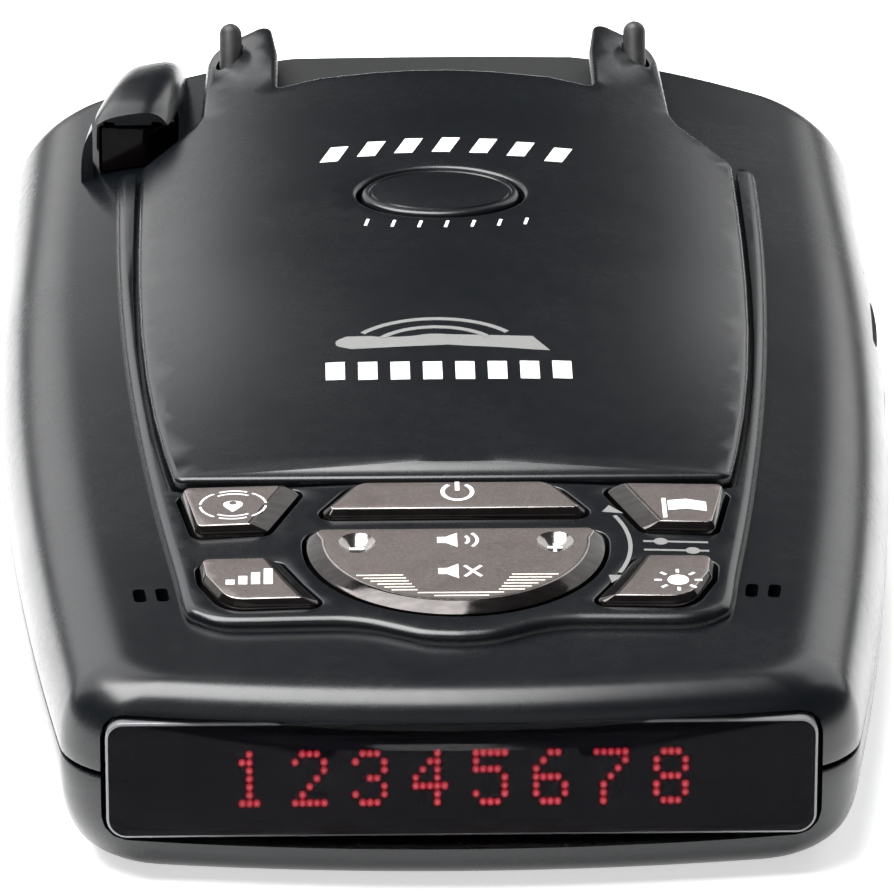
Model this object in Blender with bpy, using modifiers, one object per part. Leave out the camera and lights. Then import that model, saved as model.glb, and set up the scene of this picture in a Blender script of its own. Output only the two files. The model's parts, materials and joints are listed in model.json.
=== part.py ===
"""A windscreen radar and laser detector, standing on its underside.

The display end faces -Y and the road end +Y. Metres, +Z up, origin at the centre of the underside. The top of
the housing rises evenly from the display end to the road end, so the keys, the release button and their
switches are laid out in a tilted "deck" frame whose plane is the housing's top along its centre line:
across = X, along = up the slope, out = away from the housing.
"""

import math

import bmesh
import bpy
from mathutils import Matrix, Vector

MM = 0.001

# Housing, driving sizes
HALF_LENGTH = 63.4 * MM
HALF_WIDTH = 38.6 * MM
TOP_NEAR, TOP_FAR = 16.0 * MM, 28.5 * MM  # height of the top at the display end and at the road end
SEAM_NEAR, SEAM_FAR = 9.0 * MM, 14.0 * MM  # height of the parting line at the two ends
SLOPE_NEAR, SLOPE_FAR = -62.0 * MM, 62.0 * MM  # where those heights are measured
CROWN = 4.6  # 1/m, how much the top falls to the sides at the road end
TAPER = 0.92  # 1/m, how fast the plan narrows towards the display end
TAPER_START = 30.0 * MM
BOW_NEAR, BOW_FAR = 3.3, 1.5  # 1/m, how much the two end faces bulge
WALL = 2.0 * MM
SEAM_GAP = 0.3 * MM
EDGE_WIDE = 6.0 * MM  # the rounded long edges, across
EDGE_POWER = 2.6
BELLY_WIDE = 7.0 * MM
BELLY_POWER = 3.0
CORNER_NEAR, CORNER_FAR = 4.0 * MM, 4.5 * MM
CORNER_LONGER = 1.5 * MM  # the road end's corners start this much sooner than its rounded edge
ROUND_NEAR, ROUND_FAR = 2.0 * MM, 2.5 * MM  # how far the top drops over the end edges
LIP_NEAR, LIP_FAR = 3.2 * MM, 3.5 * MM  # how far the underside rises at the end edges
ROUND_LONG = 4.0 * MM  # length of those end edges along Y

# Raised deck, cowl and mount slot
DECK_RAISE = 1.0 * MM
DECK_GAP = 0.35 * MM
COWL_REST = 0.3 * MM  # the cowl lies this far above the housing
COWL_EDGE = 1.6 * MM  # height of the cowl's edge above the housing
COWL_CROWN = 1.7 * MM
COWL_NEAR = -27.0 * MM
FORK_IN, FORK_OUT, FORK_TIP = 14.2 * MM, 21.0 * MM, 61.3 * MM
ROOF_EDGE = 49.4 * MM
SLOT_HALF = 13.8 * MM
SLOT_FLOOR, SLOT_ROOF = -0.8 * MM, 1.5 * MM  # heights in the deck frame
SLOT_START = 12.0 * MM

# Display, windows and sockets
LENS_HALF, LENS_LOW, LENS_HIGH, LENS_THICK = 27.6 * MM, 3.9 * MM, 13.6 * MM, 1.8 * MM
LENS_GAP = 0.55 * MM  # between the display lens and its opening
WINDOW_LEFT, WINDOW_RIGHT, WINDOW_LOW, WINDOW_HIGH = -24.0 * MM, 12.0 * MM, 5.0 * MM, 21.0 * MM
ROAD_LENS = Vector((22.0, 61.0, 13.5)) * MM
ROAD_LENS_RADIUS = 6.4 * MM
POWER_JACK = Vector((27.0, 18.5, 13.7)) * MM
EARPHONE_JACK = Vector((30.5, 31.0, 13.0)) * MM
USB_JACK = Vector((31.5, 4.0, 12.0)) * MM
FIT = 0.3 * MM

# Keys, in the deck frame
KEY_PROUD = 0.6 * MM
VOLUME_HALF_X, VOLUME_DEPTH = 11.9 * MM, 11.7 * MM
VOLUME_CENTRE, VOLUME_STRAIGHT = -38.8 * MM, -36.6 * MM  # its widest line and its straight edge, along Y
KEY_CLEAR = 0.35 * MM
FLANGE_TOP, FLANGE_THICK = -3.1 * MM, 0.8 * MM
FLANGE_WIDER, VOLUME_FLANGE_WIDER = 0.5 * MM, 0.3 * MM
STEM_END = -4.5 * MM
SWITCH_TOP = -5.3 * MM
BOARD_TOP = -8.1 * MM
BOARD_THICK = 1.2 * MM

# Release button
BUTTON_ALONG = 63.3 * MM
BUTTON_HALF_X, BUTTON_HALF_Y = 6.9 * MM, 4.7 * MM
BUTTON_TOP, BUTTON_BASE = 3.6 * MM, 1.7 * MM
LATCH_TOP, LATCH_THICK = -2.4 * MM, 1.2 * MM
SPRING_TURNS, SPRING_RADIUS, SPRING_WIRE = 5, 2.3 * MM, 0.3 * MM
BRIDGE_TOP = -10.1 * MM

# Vent slots beside the keys
VENTS = (23.5 * MM, 25.3 * MM)
VENT_WIDE, VENT_NEAR, VENT_FAR = 1.0 * MM, -45.4 * MM, -43.1 * MM

SCREWS = [(x * MM, y * MM) for x, y in ((-28.3, -38.0), (28.3, -38.0), (-32.0, 48.0), (32.0, 48.0))]
BOARD_SCREWS = [(x * MM, y * MM) for x, y in ((-27.0, -16.0), (27.0, -16.0))]


# Collections, materials and small helpers


def start_scene():
    for obj in list(bpy.data.objects):
        bpy.data.objects.remove(obj)
    for name in ("radar_detector", "cutters"):
        collection = bpy.data.collections.new(name)
        bpy.context.scene.collection.children.link(collection)
    bpy.data.collections["cutters"].hide_render = True


def finish(name, colour, roughness, metallic=0.0):
    """The material of that name, made the first time that it is asked for."""
    made = bpy.data.materials.get(name)
    if made is None:
        made = bpy.data.materials.new(name)
        made.use_nodes = True
        shader = made.node_tree.nodes["Principled BSDF"]
        shader.inputs["Base Color"].default_value = (*colour, 1.0)
        shader.inputs["Roughness"].default_value = roughness
        shader.inputs["Metallic"].default_value = metallic
    return made


def satin_black():
    return finish("satin_black_plastic", (0.018, 0.020, 0.023), 0.35)


def key_paint():
    return finish("key_paint", (0.20, 0.18, 0.175), 0.35, 0.7)


def board_green():
    return finish("circuit_board", (0.02, 0.16, 0.06), 0.5)


def dark_component():
    return finish("dark_component", (0.03, 0.03, 0.03), 0.5)


def bright_steel():
    return finish("bright_steel", (0.62, 0.62, 0.63), 0.3, 1.0)


def cast_zinc():
    return finish("cast_zinc", (0.48, 0.48, 0.50), 0.45, 1.0)


def smoked_window():
    return finish("smoked_window", (0.02, 0.004, 0.005), 0.05)


def soft_rubber():
    return finish("soft_rubber", (0.02, 0.02, 0.02), 0.7)


def place(name, mesh, material=None, parent=None):
    """Links a mesh as an object: a part if it has a material, a cutter if it has none."""
    obj = bpy.data.objects.new(name, mesh)
    if material is None:
        bpy.data.collections["cutters"].objects.link(obj)
        obj.hide_render = True
        obj.display_type = "WIRE"
    else:
        bpy.data.collections["radar_detector"].objects.link(obj)
        mesh.materials.append(material)
    obj.parent = parent
    return obj


def as_part(obj, name, material):
    """Turns a shape that was made as a cutter into a part."""
    bpy.data.collections["cutters"].objects.unlink(obj)
    bpy.data.collections["radar_detector"].objects.link(obj)
    obj.name = name
    obj.hide_render = False
    obj.display_type = "TEXTURED"
    obj.data.materials.append(material)
    return obj


def mesh_from(bm, name):
    bmesh.ops.recalc_face_normals(bm, faces=bm.faces)
    mesh = bpy.data.meshes.new(name)
    bm.to_mesh(mesh)
    bm.free()
    return mesh


def box(name, low, high, material=None, parent=None):
    """A box between two corners."""
    bm = bmesh.new()
    low, high = Vector(low), Vector(high)
    bmesh.ops.create_cube(bm, size=1.0)
    bmesh.ops.scale(bm, vec=high - low, verts=bm.verts)
    bmesh.ops.translate(bm, vec=(low + high) / 2, verts=bm.verts)
    return place(name, mesh_from(bm, name), material, parent)


def rod(name, radius, start, end, material=None, parent=None, end_radius=None, segments=24):
    """A round bar or cone from one point to another."""
    start, end = Vector(start), Vector(end)
    bm = bmesh.new()
    bmesh.ops.create_cone(
        bm,
        cap_ends=True,
        segments=segments,
        radius1=radius,
        radius2=radius if end_radius is None else end_radius,
        depth=(end - start).length,
    )
    turn = (end - start).to_track_quat("Z", "Y").to_matrix().to_4x4()
    bmesh.ops.transform(bm, matrix=Matrix.Translation((start + end) / 2) @ turn, verts=bm.verts)
    return place(name, mesh_from(bm, name), material, parent)


def prism(name, outline, low, high, material=None, parent=None):
    """A flat outline given thickness: a 2D curve with an extrude, made a mesh so that it can be cut."""
    curve = bpy.data.curves.new(name, "CURVE")
    curve.dimensions = "2D"
    curve.fill_mode = "BOTH"
    curve.extrude = (high - low) / 2
    spline = curve.splines.new("POLY")
    spline.points.add(len(outline) - 1)
    for point, (x, y) in zip(spline.points, outline):
        point.co = (x, y, 0.0, 1.0)
    spline.use_cyclic_u = True
    guide = bpy.data.objects.new(name + "_outline", curve)
    bpy.context.scene.collection.objects.link(guide)
    mesh = bpy.data.meshes.new_from_object(guide.evaluated_get(bpy.context.evaluated_depsgraph_get()))
    bpy.data.objects.remove(guide)
    bm = bmesh.new()
    bm.from_mesh(mesh)
    bpy.data.meshes.remove(mesh)
    bmesh.ops.remove_doubles(bm, verts=bm.verts, dist=0.01 * MM)
    bmesh.ops.translate(bm, vec=(0, 0, (low + high) / 2), verts=bm.verts)
    return place(name, mesh_from(bm, name), material, parent)


def change(obj, other, operation):
    modifier = obj.modifiers.new(operation.lower(), "BOOLEAN")
    modifier.operation = operation
    modifier.solver = "EXACT"
    modifier.object = other


def cut(obj, *others):
    for other in others:
        change(obj, other, "DIFFERENCE")


def join(obj, *others):
    for other in others:
        change(obj, other, "UNION")


def keep(obj, other):
    change(obj, other, "INTERSECT")


def smooth(obj, angle=35):
    obj.data.shade_smooth()
    obj.data.set_sharp_from_angle(angle=math.radians(angle))


# The housing's form


def share(y):
    """0 at the display end and 1 at the road end."""
    return (y - SLOPE_NEAR) / (SLOPE_FAR - SLOPE_NEAR)


def top_height(x, y):
    return TOP_NEAR + (TOP_FAR - TOP_NEAR) * share(y) - CROWN * share(y) * x * x


def seam_height(y):
    return SEAM_NEAR + (SEAM_FAR - SEAM_NEAR) * share(y)


def half_width(y):
    return HALF_WIDTH - TAPER * max(0.0, TAPER_START - y) ** 2


def bowed(x, y):
    """y moved so that both end faces bulge."""
    return y + x * x * (BOW_NEAR * (1 - share(y)) - BOW_FAR * share(y))


def end_round(y, length):
    """0 along the body, rising to 1 in an arc over the last stretch before either end."""
    into = max(0.0, abs(y) - (HALF_LENGTH - length)) / length
    return 1 - math.sqrt(max(0.0, 1 - min(into, 1.0) ** 2))


def cowl_height(x, y):
    """The cowl's top, which is flatter along the middle and falls to its long edges."""
    rise = min(1.0, max(0.0, (y - COWL_NEAR) / (40 * MM)))
    rise = rise * rise * (3 - 2 * rise)
    return top_height(x, y) + COWL_EDGE + COWL_CROWN * (0.25 + 0.75 * rise) * (1 - (abs(x) / (27 * MM)) ** 4)


def half_shell(name, above, inset):
    """Half of the housing as a closed solid, above or below the seam. An inset one is that half's hollow."""
    near_y = -HALF_LENGTH + inset
    far_y = HALF_LENGTH - inset
    along = [near_y + ROUND_LONG * s for s in (0, 0.06, 0.2, 0.45, 1.0)]
    steps = 12
    along += [along[-1] + (far_y - 2 * ROUND_LONG - near_y) * i / steps for i in range(1, steps + 1)]
    along += [far_y - ROUND_LONG * s for s in (0.45, 0.2, 0.06, 0)]
    edge_steps, middle_steps = 6, 8
    power = EDGE_POWER if above else BELLY_POWER
    wide = EDGE_WIDE if above else BELLY_WIDE
    seam_shift = (SEAM_GAP / 2 if above else -SEAM_GAP / 2) if inset == 0 else (-1 if above else 1) * MM

    def corner(y):
        radius = CORNER_NEAR if y < 0 else CORNER_FAR
        length = ROUND_LONG + (CORNER_LONGER if y > 0 else 0)
        return radius * end_round(y * HALF_LENGTH / (HALF_LENGTH - inset), length)

    def surface(x, u, y, row_y):
        """The height at x, where u runs from 0 to 1 over the rounded long edge."""
        ends = end_round(row_y * HALF_LENGTH / (HALF_LENGTH - inset), ROUND_LONG)
        seam = seam_height(y) + seam_shift
        if above:
            face = top_height(x, y) - inset - (ROUND_NEAR if row_y < 0 else ROUND_FAR) * ends
        else:
            face = inset + (LIP_NEAR if row_y < 0 else LIP_FAR) * ends
        return seam + (face - seam) * (1 - u**power) ** (1 / power)

    def across(row_y):
        half = half_width(row_y) - inset - corner(row_y)
        spans = [(1 - i / edge_steps) ** 2 for i in range(edge_steps)]
        right = [(half - wide * (1 - span), span) for span in spans]
        middle = [((half - wide) * (1 - 2 * i / middle_steps), 0.0) for i in range(middle_steps + 1)]
        return right + middle + [(-x, u) for x, u in reversed(right)]

    columns = 2 * edge_steps + middle_steps + 1
    rows = []
    for row_y in along:
        row = []
        for x, u in across(row_y):
            y = bowed(x, row_y)
            row.append((x, y, surface(x, u, y, row_y)))
        rows.append(row)
    for end in (0, -1):
        foot = [(x, y, seam_height(y) + seam_shift) for x, y, z in rows[end]]
        rows.insert(0 if end == 0 else len(rows), foot)
    bm = bmesh.new()
    bmesh.ops.create_grid(bm, x_segments=columns - 1, y_segments=len(rows) - 1, size=1.0)
    for vert in bm.verts:
        column = round((vert.co.x + 1) / 2 * (columns - 1))
        row = round((vert.co.y + 1) / 2 * (len(rows) - 1))
        vert.co = rows[row][column]
    bmesh.ops.remove_doubles(bm, verts=bm.verts, dist=0.005 * MM)
    bmesh.ops.holes_fill(bm, edges=bm.edges)
    return place(name, mesh_from(bm, name))


def draped_slab(name, lower, upper, low_corner, high_corner, cells=(18, 30)):
    """A slab whose two faces follow two height functions of x and y."""
    bm = bmesh.new()
    bmesh.ops.create_grid(bm, x_segments=cells[0], y_segments=cells[1], size=0.5)
    for vert in bm.verts:
        x = low_corner[0] + (vert.co.x + 0.5) * (high_corner[0] - low_corner[0])
        y = low_corner[1] + (vert.co.y + 0.5) * (high_corner[1] - low_corner[1])
        vert.co = (x, y, upper(x, y))
    made = bmesh.ops.extrude_face_region(bm, geom=bm.faces[:])
    for vert in [v for v in made["geom"] if isinstance(v, bmesh.types.BMVert)]:
        vert.co.z = lower(vert.co.x, vert.co.y)
    return place(name, mesh_from(bm, name))


# Outlines, seen from above


def filleted(corners, steps=5):
    """A closed outline from corners (x, y, radius) in millimetres, with an arc where a corner has a radius."""
    points = []
    for i, (x, y, radius) in enumerate(corners):
        here = Vector((x, y))
        before = (Vector(corners[i - 1][:2]) - here).normalized()
        after = (Vector(corners[(i + 1) % len(corners)][:2]) - here).normalized()
        if radius == 0:
            points.append(here * MM)
            continue
        half_angle = before.angle(after) / 2
        reach = radius / math.tan(half_angle)
        centre = here + (before + after).normalized() * (radius / math.sin(half_angle))
        first = here + before * reach - centre
        turn = first.angle_signed(here + after * reach - centre)
        for k in range(steps + 1):
            points.append((centre + Matrix.Rotation(-turn * k / steps, 2) @ first) * MM)
    return [(p.x, p.y) for p in points]


def grown(outline, distance):
    """The outline with every side moved outwards; it runs anticlockwise."""
    points = [Vector(p) for p in outline]
    count = len(points)
    area = sum(points[i - 1].cross(points[i]) for i in range(count))
    side = 1 if area > 0 else -1
    moved = []
    for i, here in enumerate(points):
        before = (here - points[i - 1]).normalized()
        after = (points[(i + 1) % count] - here).normalized()
        normals = [Vector((d.y, -d.x)) * side for d in (before, after)]
        middle = (normals[0] + normals[1]).normalized()
        moved.append(here + middle * (distance / max(0.5, middle.dot(normals[0]))))
    return [(p.x, p.y) for p in moved]


def mirrored(right_side):
    """A whole outline from its right half, which runs from the display end to the road end."""
    return right_side + [(-x, y) for x, y in reversed(right_side)]


def deck_half(y):
    """Half the width of the raised deck."""
    return 28.6 * MM - 0.95 * (38 * MM - y) ** 2


def deck_outline():
    """The deck: a lip that bulges round the volume key, a rounded corner and a long gentle curve."""
    lip = [(0, -53.9), (2.6, -53.6), (4.7, -52.7), (6.8, -51.7), (8.8, -51.2), (11.0, -51.1), (17.0, -51.1)]
    corner = [(17.2 + 4.8 * math.sin(a), -46.3 - 4.8 * math.cos(a)) for a in (0.35, 0.7, 1.05, 1.4)]
    right = [(x * MM, y * MM) for x, y in lip[1:] + corner]
    right += [(deck_half(y * MM), y * MM) for y in (-42, -34, -26, -16, -6, 4, 16, 28, 37.0)]
    right += [(28.0 * MM, 38.4 * MM), (26.9 * MM, 38.9 * MM)]
    return [(0.0, lip[0][1] * MM)] + mirrored(right)


def cowl_half(y):
    return 26.4 * MM - 15.0 * (36 * MM - y) ** 3


def cowl_outline():
    """The cowl: straight at the keys, curved sides, shoulders that step in to two forks, a roof edge between."""
    side = [(cowl_half(y * MM), y * MM) for y in (-27.0, -22, -15, -7, 2, 12, 22, 30, 37.2)]
    shoulder = [
        (24.9 * MM, 39.0 * MM),
        (23.1 * MM, 41.0 * MM),
        (21.5 * MM, 43.2 * MM),
        (21.3 * MM, 44.4 * MM),
    ]
    tip = [(FORK_OUT, 59.4 * MM), (19.8 * MM, FORK_TIP), (15.4 * MM, FORK_TIP), (FORK_IN, 60.2 * MM)]
    roof = [(FORK_IN, 47.6 * MM), (10.0 * MM, 48.7 * MM), (5.0 * MM, ROOF_EDGE)]
    return mirrored(side + shoulder + tip + roof)


def power_key_outline():
    return filleted([(-11.2, -33.9, 0.6), (11.2, -33.9, 0.6), (8.3, -28.7, 1.6), (-8.3, -28.7, 1.6)])


def volume_key_outline():
    """A half oval with a straight edge towards the power key."""
    half, straight = VOLUME_HALF_X, VOLUME_STRAIGHT
    turns = [-math.pi * k / 16 for k in range(16, -1, -1)]
    bowl = [(half * math.cos(a), VOLUME_CENTRE + VOLUME_DEPTH * math.sin(a)) for a in turns]
    chamfer = 0.6 * MM
    right = [(half, straight - chamfer), (half - chamfer, straight)]
    return bowl + right + [(-x, y) for x, y in reversed(right)]


def corner_key_outline(side, upper):
    """One of the four keys round the volume key. side is 1 on the right and -1 on the left."""
    if upper:
        corners = [(12.2, -28.9, 0.4), (15.1, -36.2, 0.4), (20.8, -36.4, 0.5), (22.2, -28.9, 0.5)]
    else:
        corners = [
            (14.1, -41.5, 0.5),
            (12.5, -45.2, 0),
            (10.6, -48.9, 0.4),
            (18.3, -49.1, 2.2),
            (20.2, -44.6, 1.5),
            (20.5, -41.5, 0.5),
        ]
    return filleted([(side * x, y, radius) for x, y, radius in corners][:: side])


def oval(half_x, half_y, centre_y=0.0, segments=32):
    return [
        (half_x * math.cos(a), centre_y + half_y * math.sin(a))
        for a in (2 * math.pi * k / segments for k in range(segments))
    ]


# Deck frame

DECK_SLOPE = math.atan((TOP_FAR - TOP_NEAR) / (SLOPE_FAR - SLOPE_NEAR))
DECK_ORIGIN = Vector((0, -40 * MM, top_height(0, -40 * MM)))


def deck_frame():
    frame = bpy.data.objects.new("deck_frame", None)
    bpy.data.collections["radar_detector"].objects.link(frame)
    frame.location = DECK_ORIGIN
    frame.rotation_euler = (DECK_SLOPE, 0, 0)
    return frame


def onto_deck(outline):
    """An outline seen from above, in the deck frame's own coordinates."""
    return [(x, (y - DECK_ORIGIN.y) / math.cos(DECK_SLOPE)) for x, y in outline]


def along_deck(y):
    return (y - DECK_ORIGIN.y) / math.cos(DECK_SLOPE)


# Housing parts


def side_notches():
    """Cutters for what opens through the walls of both halves: display, road windows and sockets."""
    out = 80 * MM
    power = POWER_JACK
    ear, usb = EARPHONE_JACK, USB_JACK
    return [
        box(
            "display_notch",
            (-LENS_HALF - LENS_GAP, -out, LENS_LOW - LENS_GAP),
            (LENS_HALF + LENS_GAP, -58.5 * MM, LENS_HIGH + LENS_GAP),
        ),
        box(
            "window_notch",
            (WINDOW_LEFT - FIT, 59.5 * MM, WINDOW_LOW - FIT),
            (WINDOW_RIGHT + FIT, out, WINDOW_HIGH + FIT),
        ),
        rod(
            "road_lens_notch",
            ROAD_LENS_RADIUS + FIT,
            (ROAD_LENS.x, 58 * MM, ROAD_LENS.z),
            (ROAD_LENS.x, out, ROAD_LENS.z),
            segments=32,
        ),
        box(
            "power_notch",
            (power.x, power.y - 5.3 * MM, power.z - 3.6 * MM),
            (50 * MM, power.y + 5.3 * MM, power.z + 3.5 * MM),
        ),
        rod("earphone_notch", 3.3 * MM, (ear.x + 3 * MM, ear.y, ear.z), (50 * MM, ear.y, ear.z)),
        box(
            "usb_notch",
            (usb.x + 2 * MM, usb.y - 4.6 * MM, usb.z - 2.7 * MM),
            (50 * MM, usb.y + 4.6 * MM, usb.z + 2.7 * MM),
        ),
    ]


def pod_hood():
    """The fairing over the rear laser sensor: a loaf that narrows towards the road end."""
    sections = (
        (42.7, -27.3, 4.35, 29.0),
        (45.0, -27.1, 4.3, 29.6),
        (50.0, -26.4, 4.1, 30.0),
        (56.0, -25.5, 3.6, 29.4),
        (60.4, -24.9, 3.1, 27.9),
    )
    rows = []
    for y, centre, half, top in sections:
        base = top_height(abs(centre) * MM, y * MM) / MM - 1.6
        arch = [(math.cos(a), math.sin(a)) for a in (math.pi * k / 12 for k in range(13))]
        rows.append([(centre + half * c, y, base + (top - base) * s**0.55) for c, s in arch])
    bm = bmesh.new()
    bmesh.ops.create_grid(bm, x_segments=12, y_segments=4, size=1.0)
    for vert in bm.verts:
        row, column = round((vert.co.y + 1) * 2), round((vert.co.x + 1) * 6)
        vert.co = Vector(rows[row][column]) * MM
    bmesh.ops.holes_fill(bm, edges=bm.edges)
    return place("pod_hood", mesh_from(bm, "pod_hood"))


def key_plans(frame):
    """Every key as (name, outline in the deck frame)."""
    return [
        ("gps_key", onto_deck(corner_key_outline(-1, True))),
        ("sensitivity_key", onto_deck(corner_key_outline(-1, False))),
        ("power_key", onto_deck(power_key_outline())),
        ("mark_key", onto_deck(corner_key_outline(1, True))),
        ("brightness_key", onto_deck(corner_key_outline(1, False))),
        ("volume_key", onto_deck(volume_key_outline())),
    ]


def top_housing(frame, notches):
    housing = as_part(half_shell("top_housing_form", True, 0.0), "top_housing", satin_black())
    cut(housing, half_shell("top_hollow", True, WALL))

    deck = draped_slab(
        "deck_slab",
        lambda x, y: top_height(x, y) - 1.0 * MM,
        lambda x, y: top_height(x, y) + DECK_RAISE,
        (-31 * MM, -57 * MM),
        (31 * MM, 40 * MM),
    )
    keep(deck, prism("deck_plan", deck_outline(), 0, 60 * MM))
    cut(deck, prism("cowl_plan", grown(cowl_outline(), DECK_GAP), 0, 60 * MM))
    hood = pod_hood()
    join(housing, deck, hood)
    for number, (x, y) in enumerate(SCREWS, 1):
        low = seam_height(y) + SEAM_GAP
        high = top_height(abs(x), y) - 1.0 * MM
        join(housing, rod(f"top_boss_{number}", 2.6 * MM, (x, y, low), (x, y, high)))
        cut(housing, rod(f"top_boss_hole_{number}", 1.3 * MM, (x, y, low - 1 * MM), (x, y, high - 2.5 * MM)))
    for side in (-1, 1):
        along, low, high = BUTTON_ALONG, BRIDGE_TOP + FIT, -1.0 * MM
        post = rod(
            "bridge_post",
            2.2 * MM,
            (side * 11.5 * MM, along, low),
            (side * 11.5 * MM, along, high),
            None,
            frame,
        )
        hole = rod(
            "bridge_post_hole",
            0.9 * MM,
            (side * 11.5 * MM, along, low - 1 * MM),
            (side * 11.5 * MM, along, low + 5 * MM),
            None,
            frame,
        )
        join(housing, post)
        cut(housing, hole)

    slot = box(
        "slot_pocket",
        (-SLOT_HALF - 0.2 * MM, along_deck(SLOT_START), SLOT_FLOOR),
        (SLOT_HALF + 0.2 * MM, along_deck(80 * MM), 8 * MM),
        None,
        frame,
    )
    cut(housing, slot)
    for name, outline in key_plans(frame):
        cut(housing, prism(name + "_hole", grown(outline, KEY_CLEAR), -6 * MM, 6 * MM, None, frame))
    stem_hole = rod("stem_hole", 2.4 * MM, (0, BUTTON_ALONG, -5 * MM), (0, BUTTON_ALONG, 2 * MM), None, frame)
    tooth_hole = box(
        "tooth_hole",
        (-3.4 * MM, BUTTON_ALONG + 3.2 * MM, -5 * MM),
        (3.4 * MM, BUTTON_ALONG + 5.8 * MM, 2 * MM),
        None,
        frame,
    )
    cut(housing, stem_hole, tooth_hole)
    for side in (-1, 1):
        for x in VENTS:
            low = (side * x - VENT_WIDE / 2, along_deck(VENT_NEAR), -6 * MM)
            high = (side * x + VENT_WIDE / 2, along_deck(VENT_FAR), 4 * MM)
            cut(housing, box("vent", low, high, None, frame))
    pocket = draped_slab(
        "pod_pocket",
        lambda x, y: top_height(x, y) + 0.1 * MM,
        lambda x, y: 27.9 * MM,
        (-30.37 * MM, 39 * MM),
        (-23.3 * MM, 48.7 * MM),
        (6, 6),
    )
    cut(housing, pocket, *notches)
    smooth(housing)
    return housing


def bottom_housing(notches):
    housing = as_part(half_shell("bottom_housing_form", False, 0.0), "bottom_housing", satin_black())
    cut(housing, half_shell("bottom_hollow", False, WALL))
    for number, (x, y) in enumerate(SCREWS, 1):
        join(
            housing,
            rod(f"bottom_boss_{number}", 3.2 * MM, (x, y, 1.0 * MM), (x, y, seam_height(y) - SEAM_GAP)),
        )
        cut(
            housing,
            rod(f"head_hole_{number}", 2.5 * MM, (x, y, -1 * MM), (x, y, 4.0 * MM)),
            rod(f"shank_hole_{number}", 1.4 * MM, (x, y, 3.0 * MM), (x, y, 20 * MM)),
        )
    for number, (x, y) in enumerate(BOARD_SCREWS, 1):
        join(housing, rod(f"board_boss_{number}", 2.2 * MM, (x, y, 1.0 * MM), (x, y, 8.1 * MM)))
        cut(housing, rod(f"board_boss_hole_{number}", 0.9 * MM, (x, y, 3.0 * MM), (x, y, 9 * MM)))
    for row in range(7):
        y = (-2.4 + 2.8 * row) * MM
        reach = 11.5 * MM if row in (1, 2, 3, 4, 5) else 8.0 * MM
        cut(
            housing,
            box(f"grille_slot_{row}", (-reach, y - 0.6 * MM, -1 * MM), (reach, y + 0.6 * MM, 3 * MM)),
        )
    cut(housing, *notches)
    smooth(housing)
    return housing


def mount_cowl(frame):
    """The raised cover over the bracket slot, with two forks that reach the road end."""
    cowl = draped_slab(
        "cowl_slab",
        lambda x, y: top_height(x, y) + COWL_REST,
        cowl_height,
        (-29 * MM, -30 * MM),
        (29 * MM, 64 * MM),
        (20, 24),
    )
    cowl = as_part(cowl, "mount_cowl", satin_black())
    keep(cowl, prism("cowl_cut", cowl_outline(), 0, 60 * MM))
    channel = box(
        "slot_channel",
        (-SLOT_HALF, along_deck(SLOT_START), -6 * MM),
        (SLOT_HALF, along_deck(80 * MM), SLOT_ROOF),
        None,
        frame,
    )
    hole = prism(
        "button_hole",
        oval(BUTTON_HALF_X + 0.4 * MM, BUTTON_HALF_Y + 0.4 * MM, BUTTON_ALONG),
        0,
        8 * MM,
        None,
        frame,
    )
    cut(cowl, channel, hole)
    for side in (-1, 1):
        cut(cowl, bumper_shape("bumper_pocket", side, 0.3 * MM))
    smooth(cowl)
    return cowl


def bumper_shape(name, side, clearance=0.0, material=None):
    """A small round-ended rubber stud that leans towards the windscreen."""
    foot = Vector((side * 18.5, 56.4, 28.0)) * MM
    tip = Vector((side * 18.5, 58.4, 31.1)) * MM
    radius = 1.05 * MM + clearance
    bm = bmesh.new()
    bmesh.ops.create_uvsphere(bm, u_segments=16, v_segments=10, radius=radius)
    lean = (tip - foot).normalized()
    for vert in bm.verts:
        lift = (tip - foot).length if vert.co.z > 0.1 * radius else 0.0
        if abs(vert.co.z) <= 0.1 * radius:
            lift = (tip - foot).length / 2
        vert.co.z += lift
    bmesh.ops.transform(bm, matrix=lean.to_track_quat("Z", "Y").to_matrix().to_4x4(), verts=bm.verts)
    bmesh.ops.translate(bm, vec=foot, verts=bm.verts)
    return place(name, mesh_from(bm, name), material)


# Display end


def bowed_plate(name, half, low, high, front, thick, material, segments=20):
    """An upright plate that follows the bulge of the display end."""
    bm = bmesh.new()
    bmesh.ops.create_grid(bm, x_segments=segments, y_segments=2, size=1.0)
    for vert in bm.verts:
        x, z = vert.co.x * half, (low + high) / 2 + vert.co.y * (high - low) / 2
        vert.co = (x, front + BOW_NEAR * x * x, z)
    made = bmesh.ops.extrude_face_region(bm, geom=bm.faces[:])
    for vert in [v for v in made["geom"] if isinstance(v, bmesh.types.BMVert)]:
        vert.co.y += thick
    obj = place(name, mesh_from(bm, name), material)
    smooth(obj)
    return obj


def display_parts():
    bowed_plate("display_lens", LENS_HALF, LENS_LOW, LENS_HIGH, -HALF_LENGTH, LENS_THICK, smoked_window())
    box("led_display", Vector((-21.5, -59.4, 4.6)) * MM, Vector((21.5, -55.4, 13.0)) * MM, dark_component())
    box("display_board", Vector((-26.0, -55.0, 3.4)) * MM, Vector((26.0, -53.8, 12.6)) * MM, board_green())


# Road end


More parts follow.
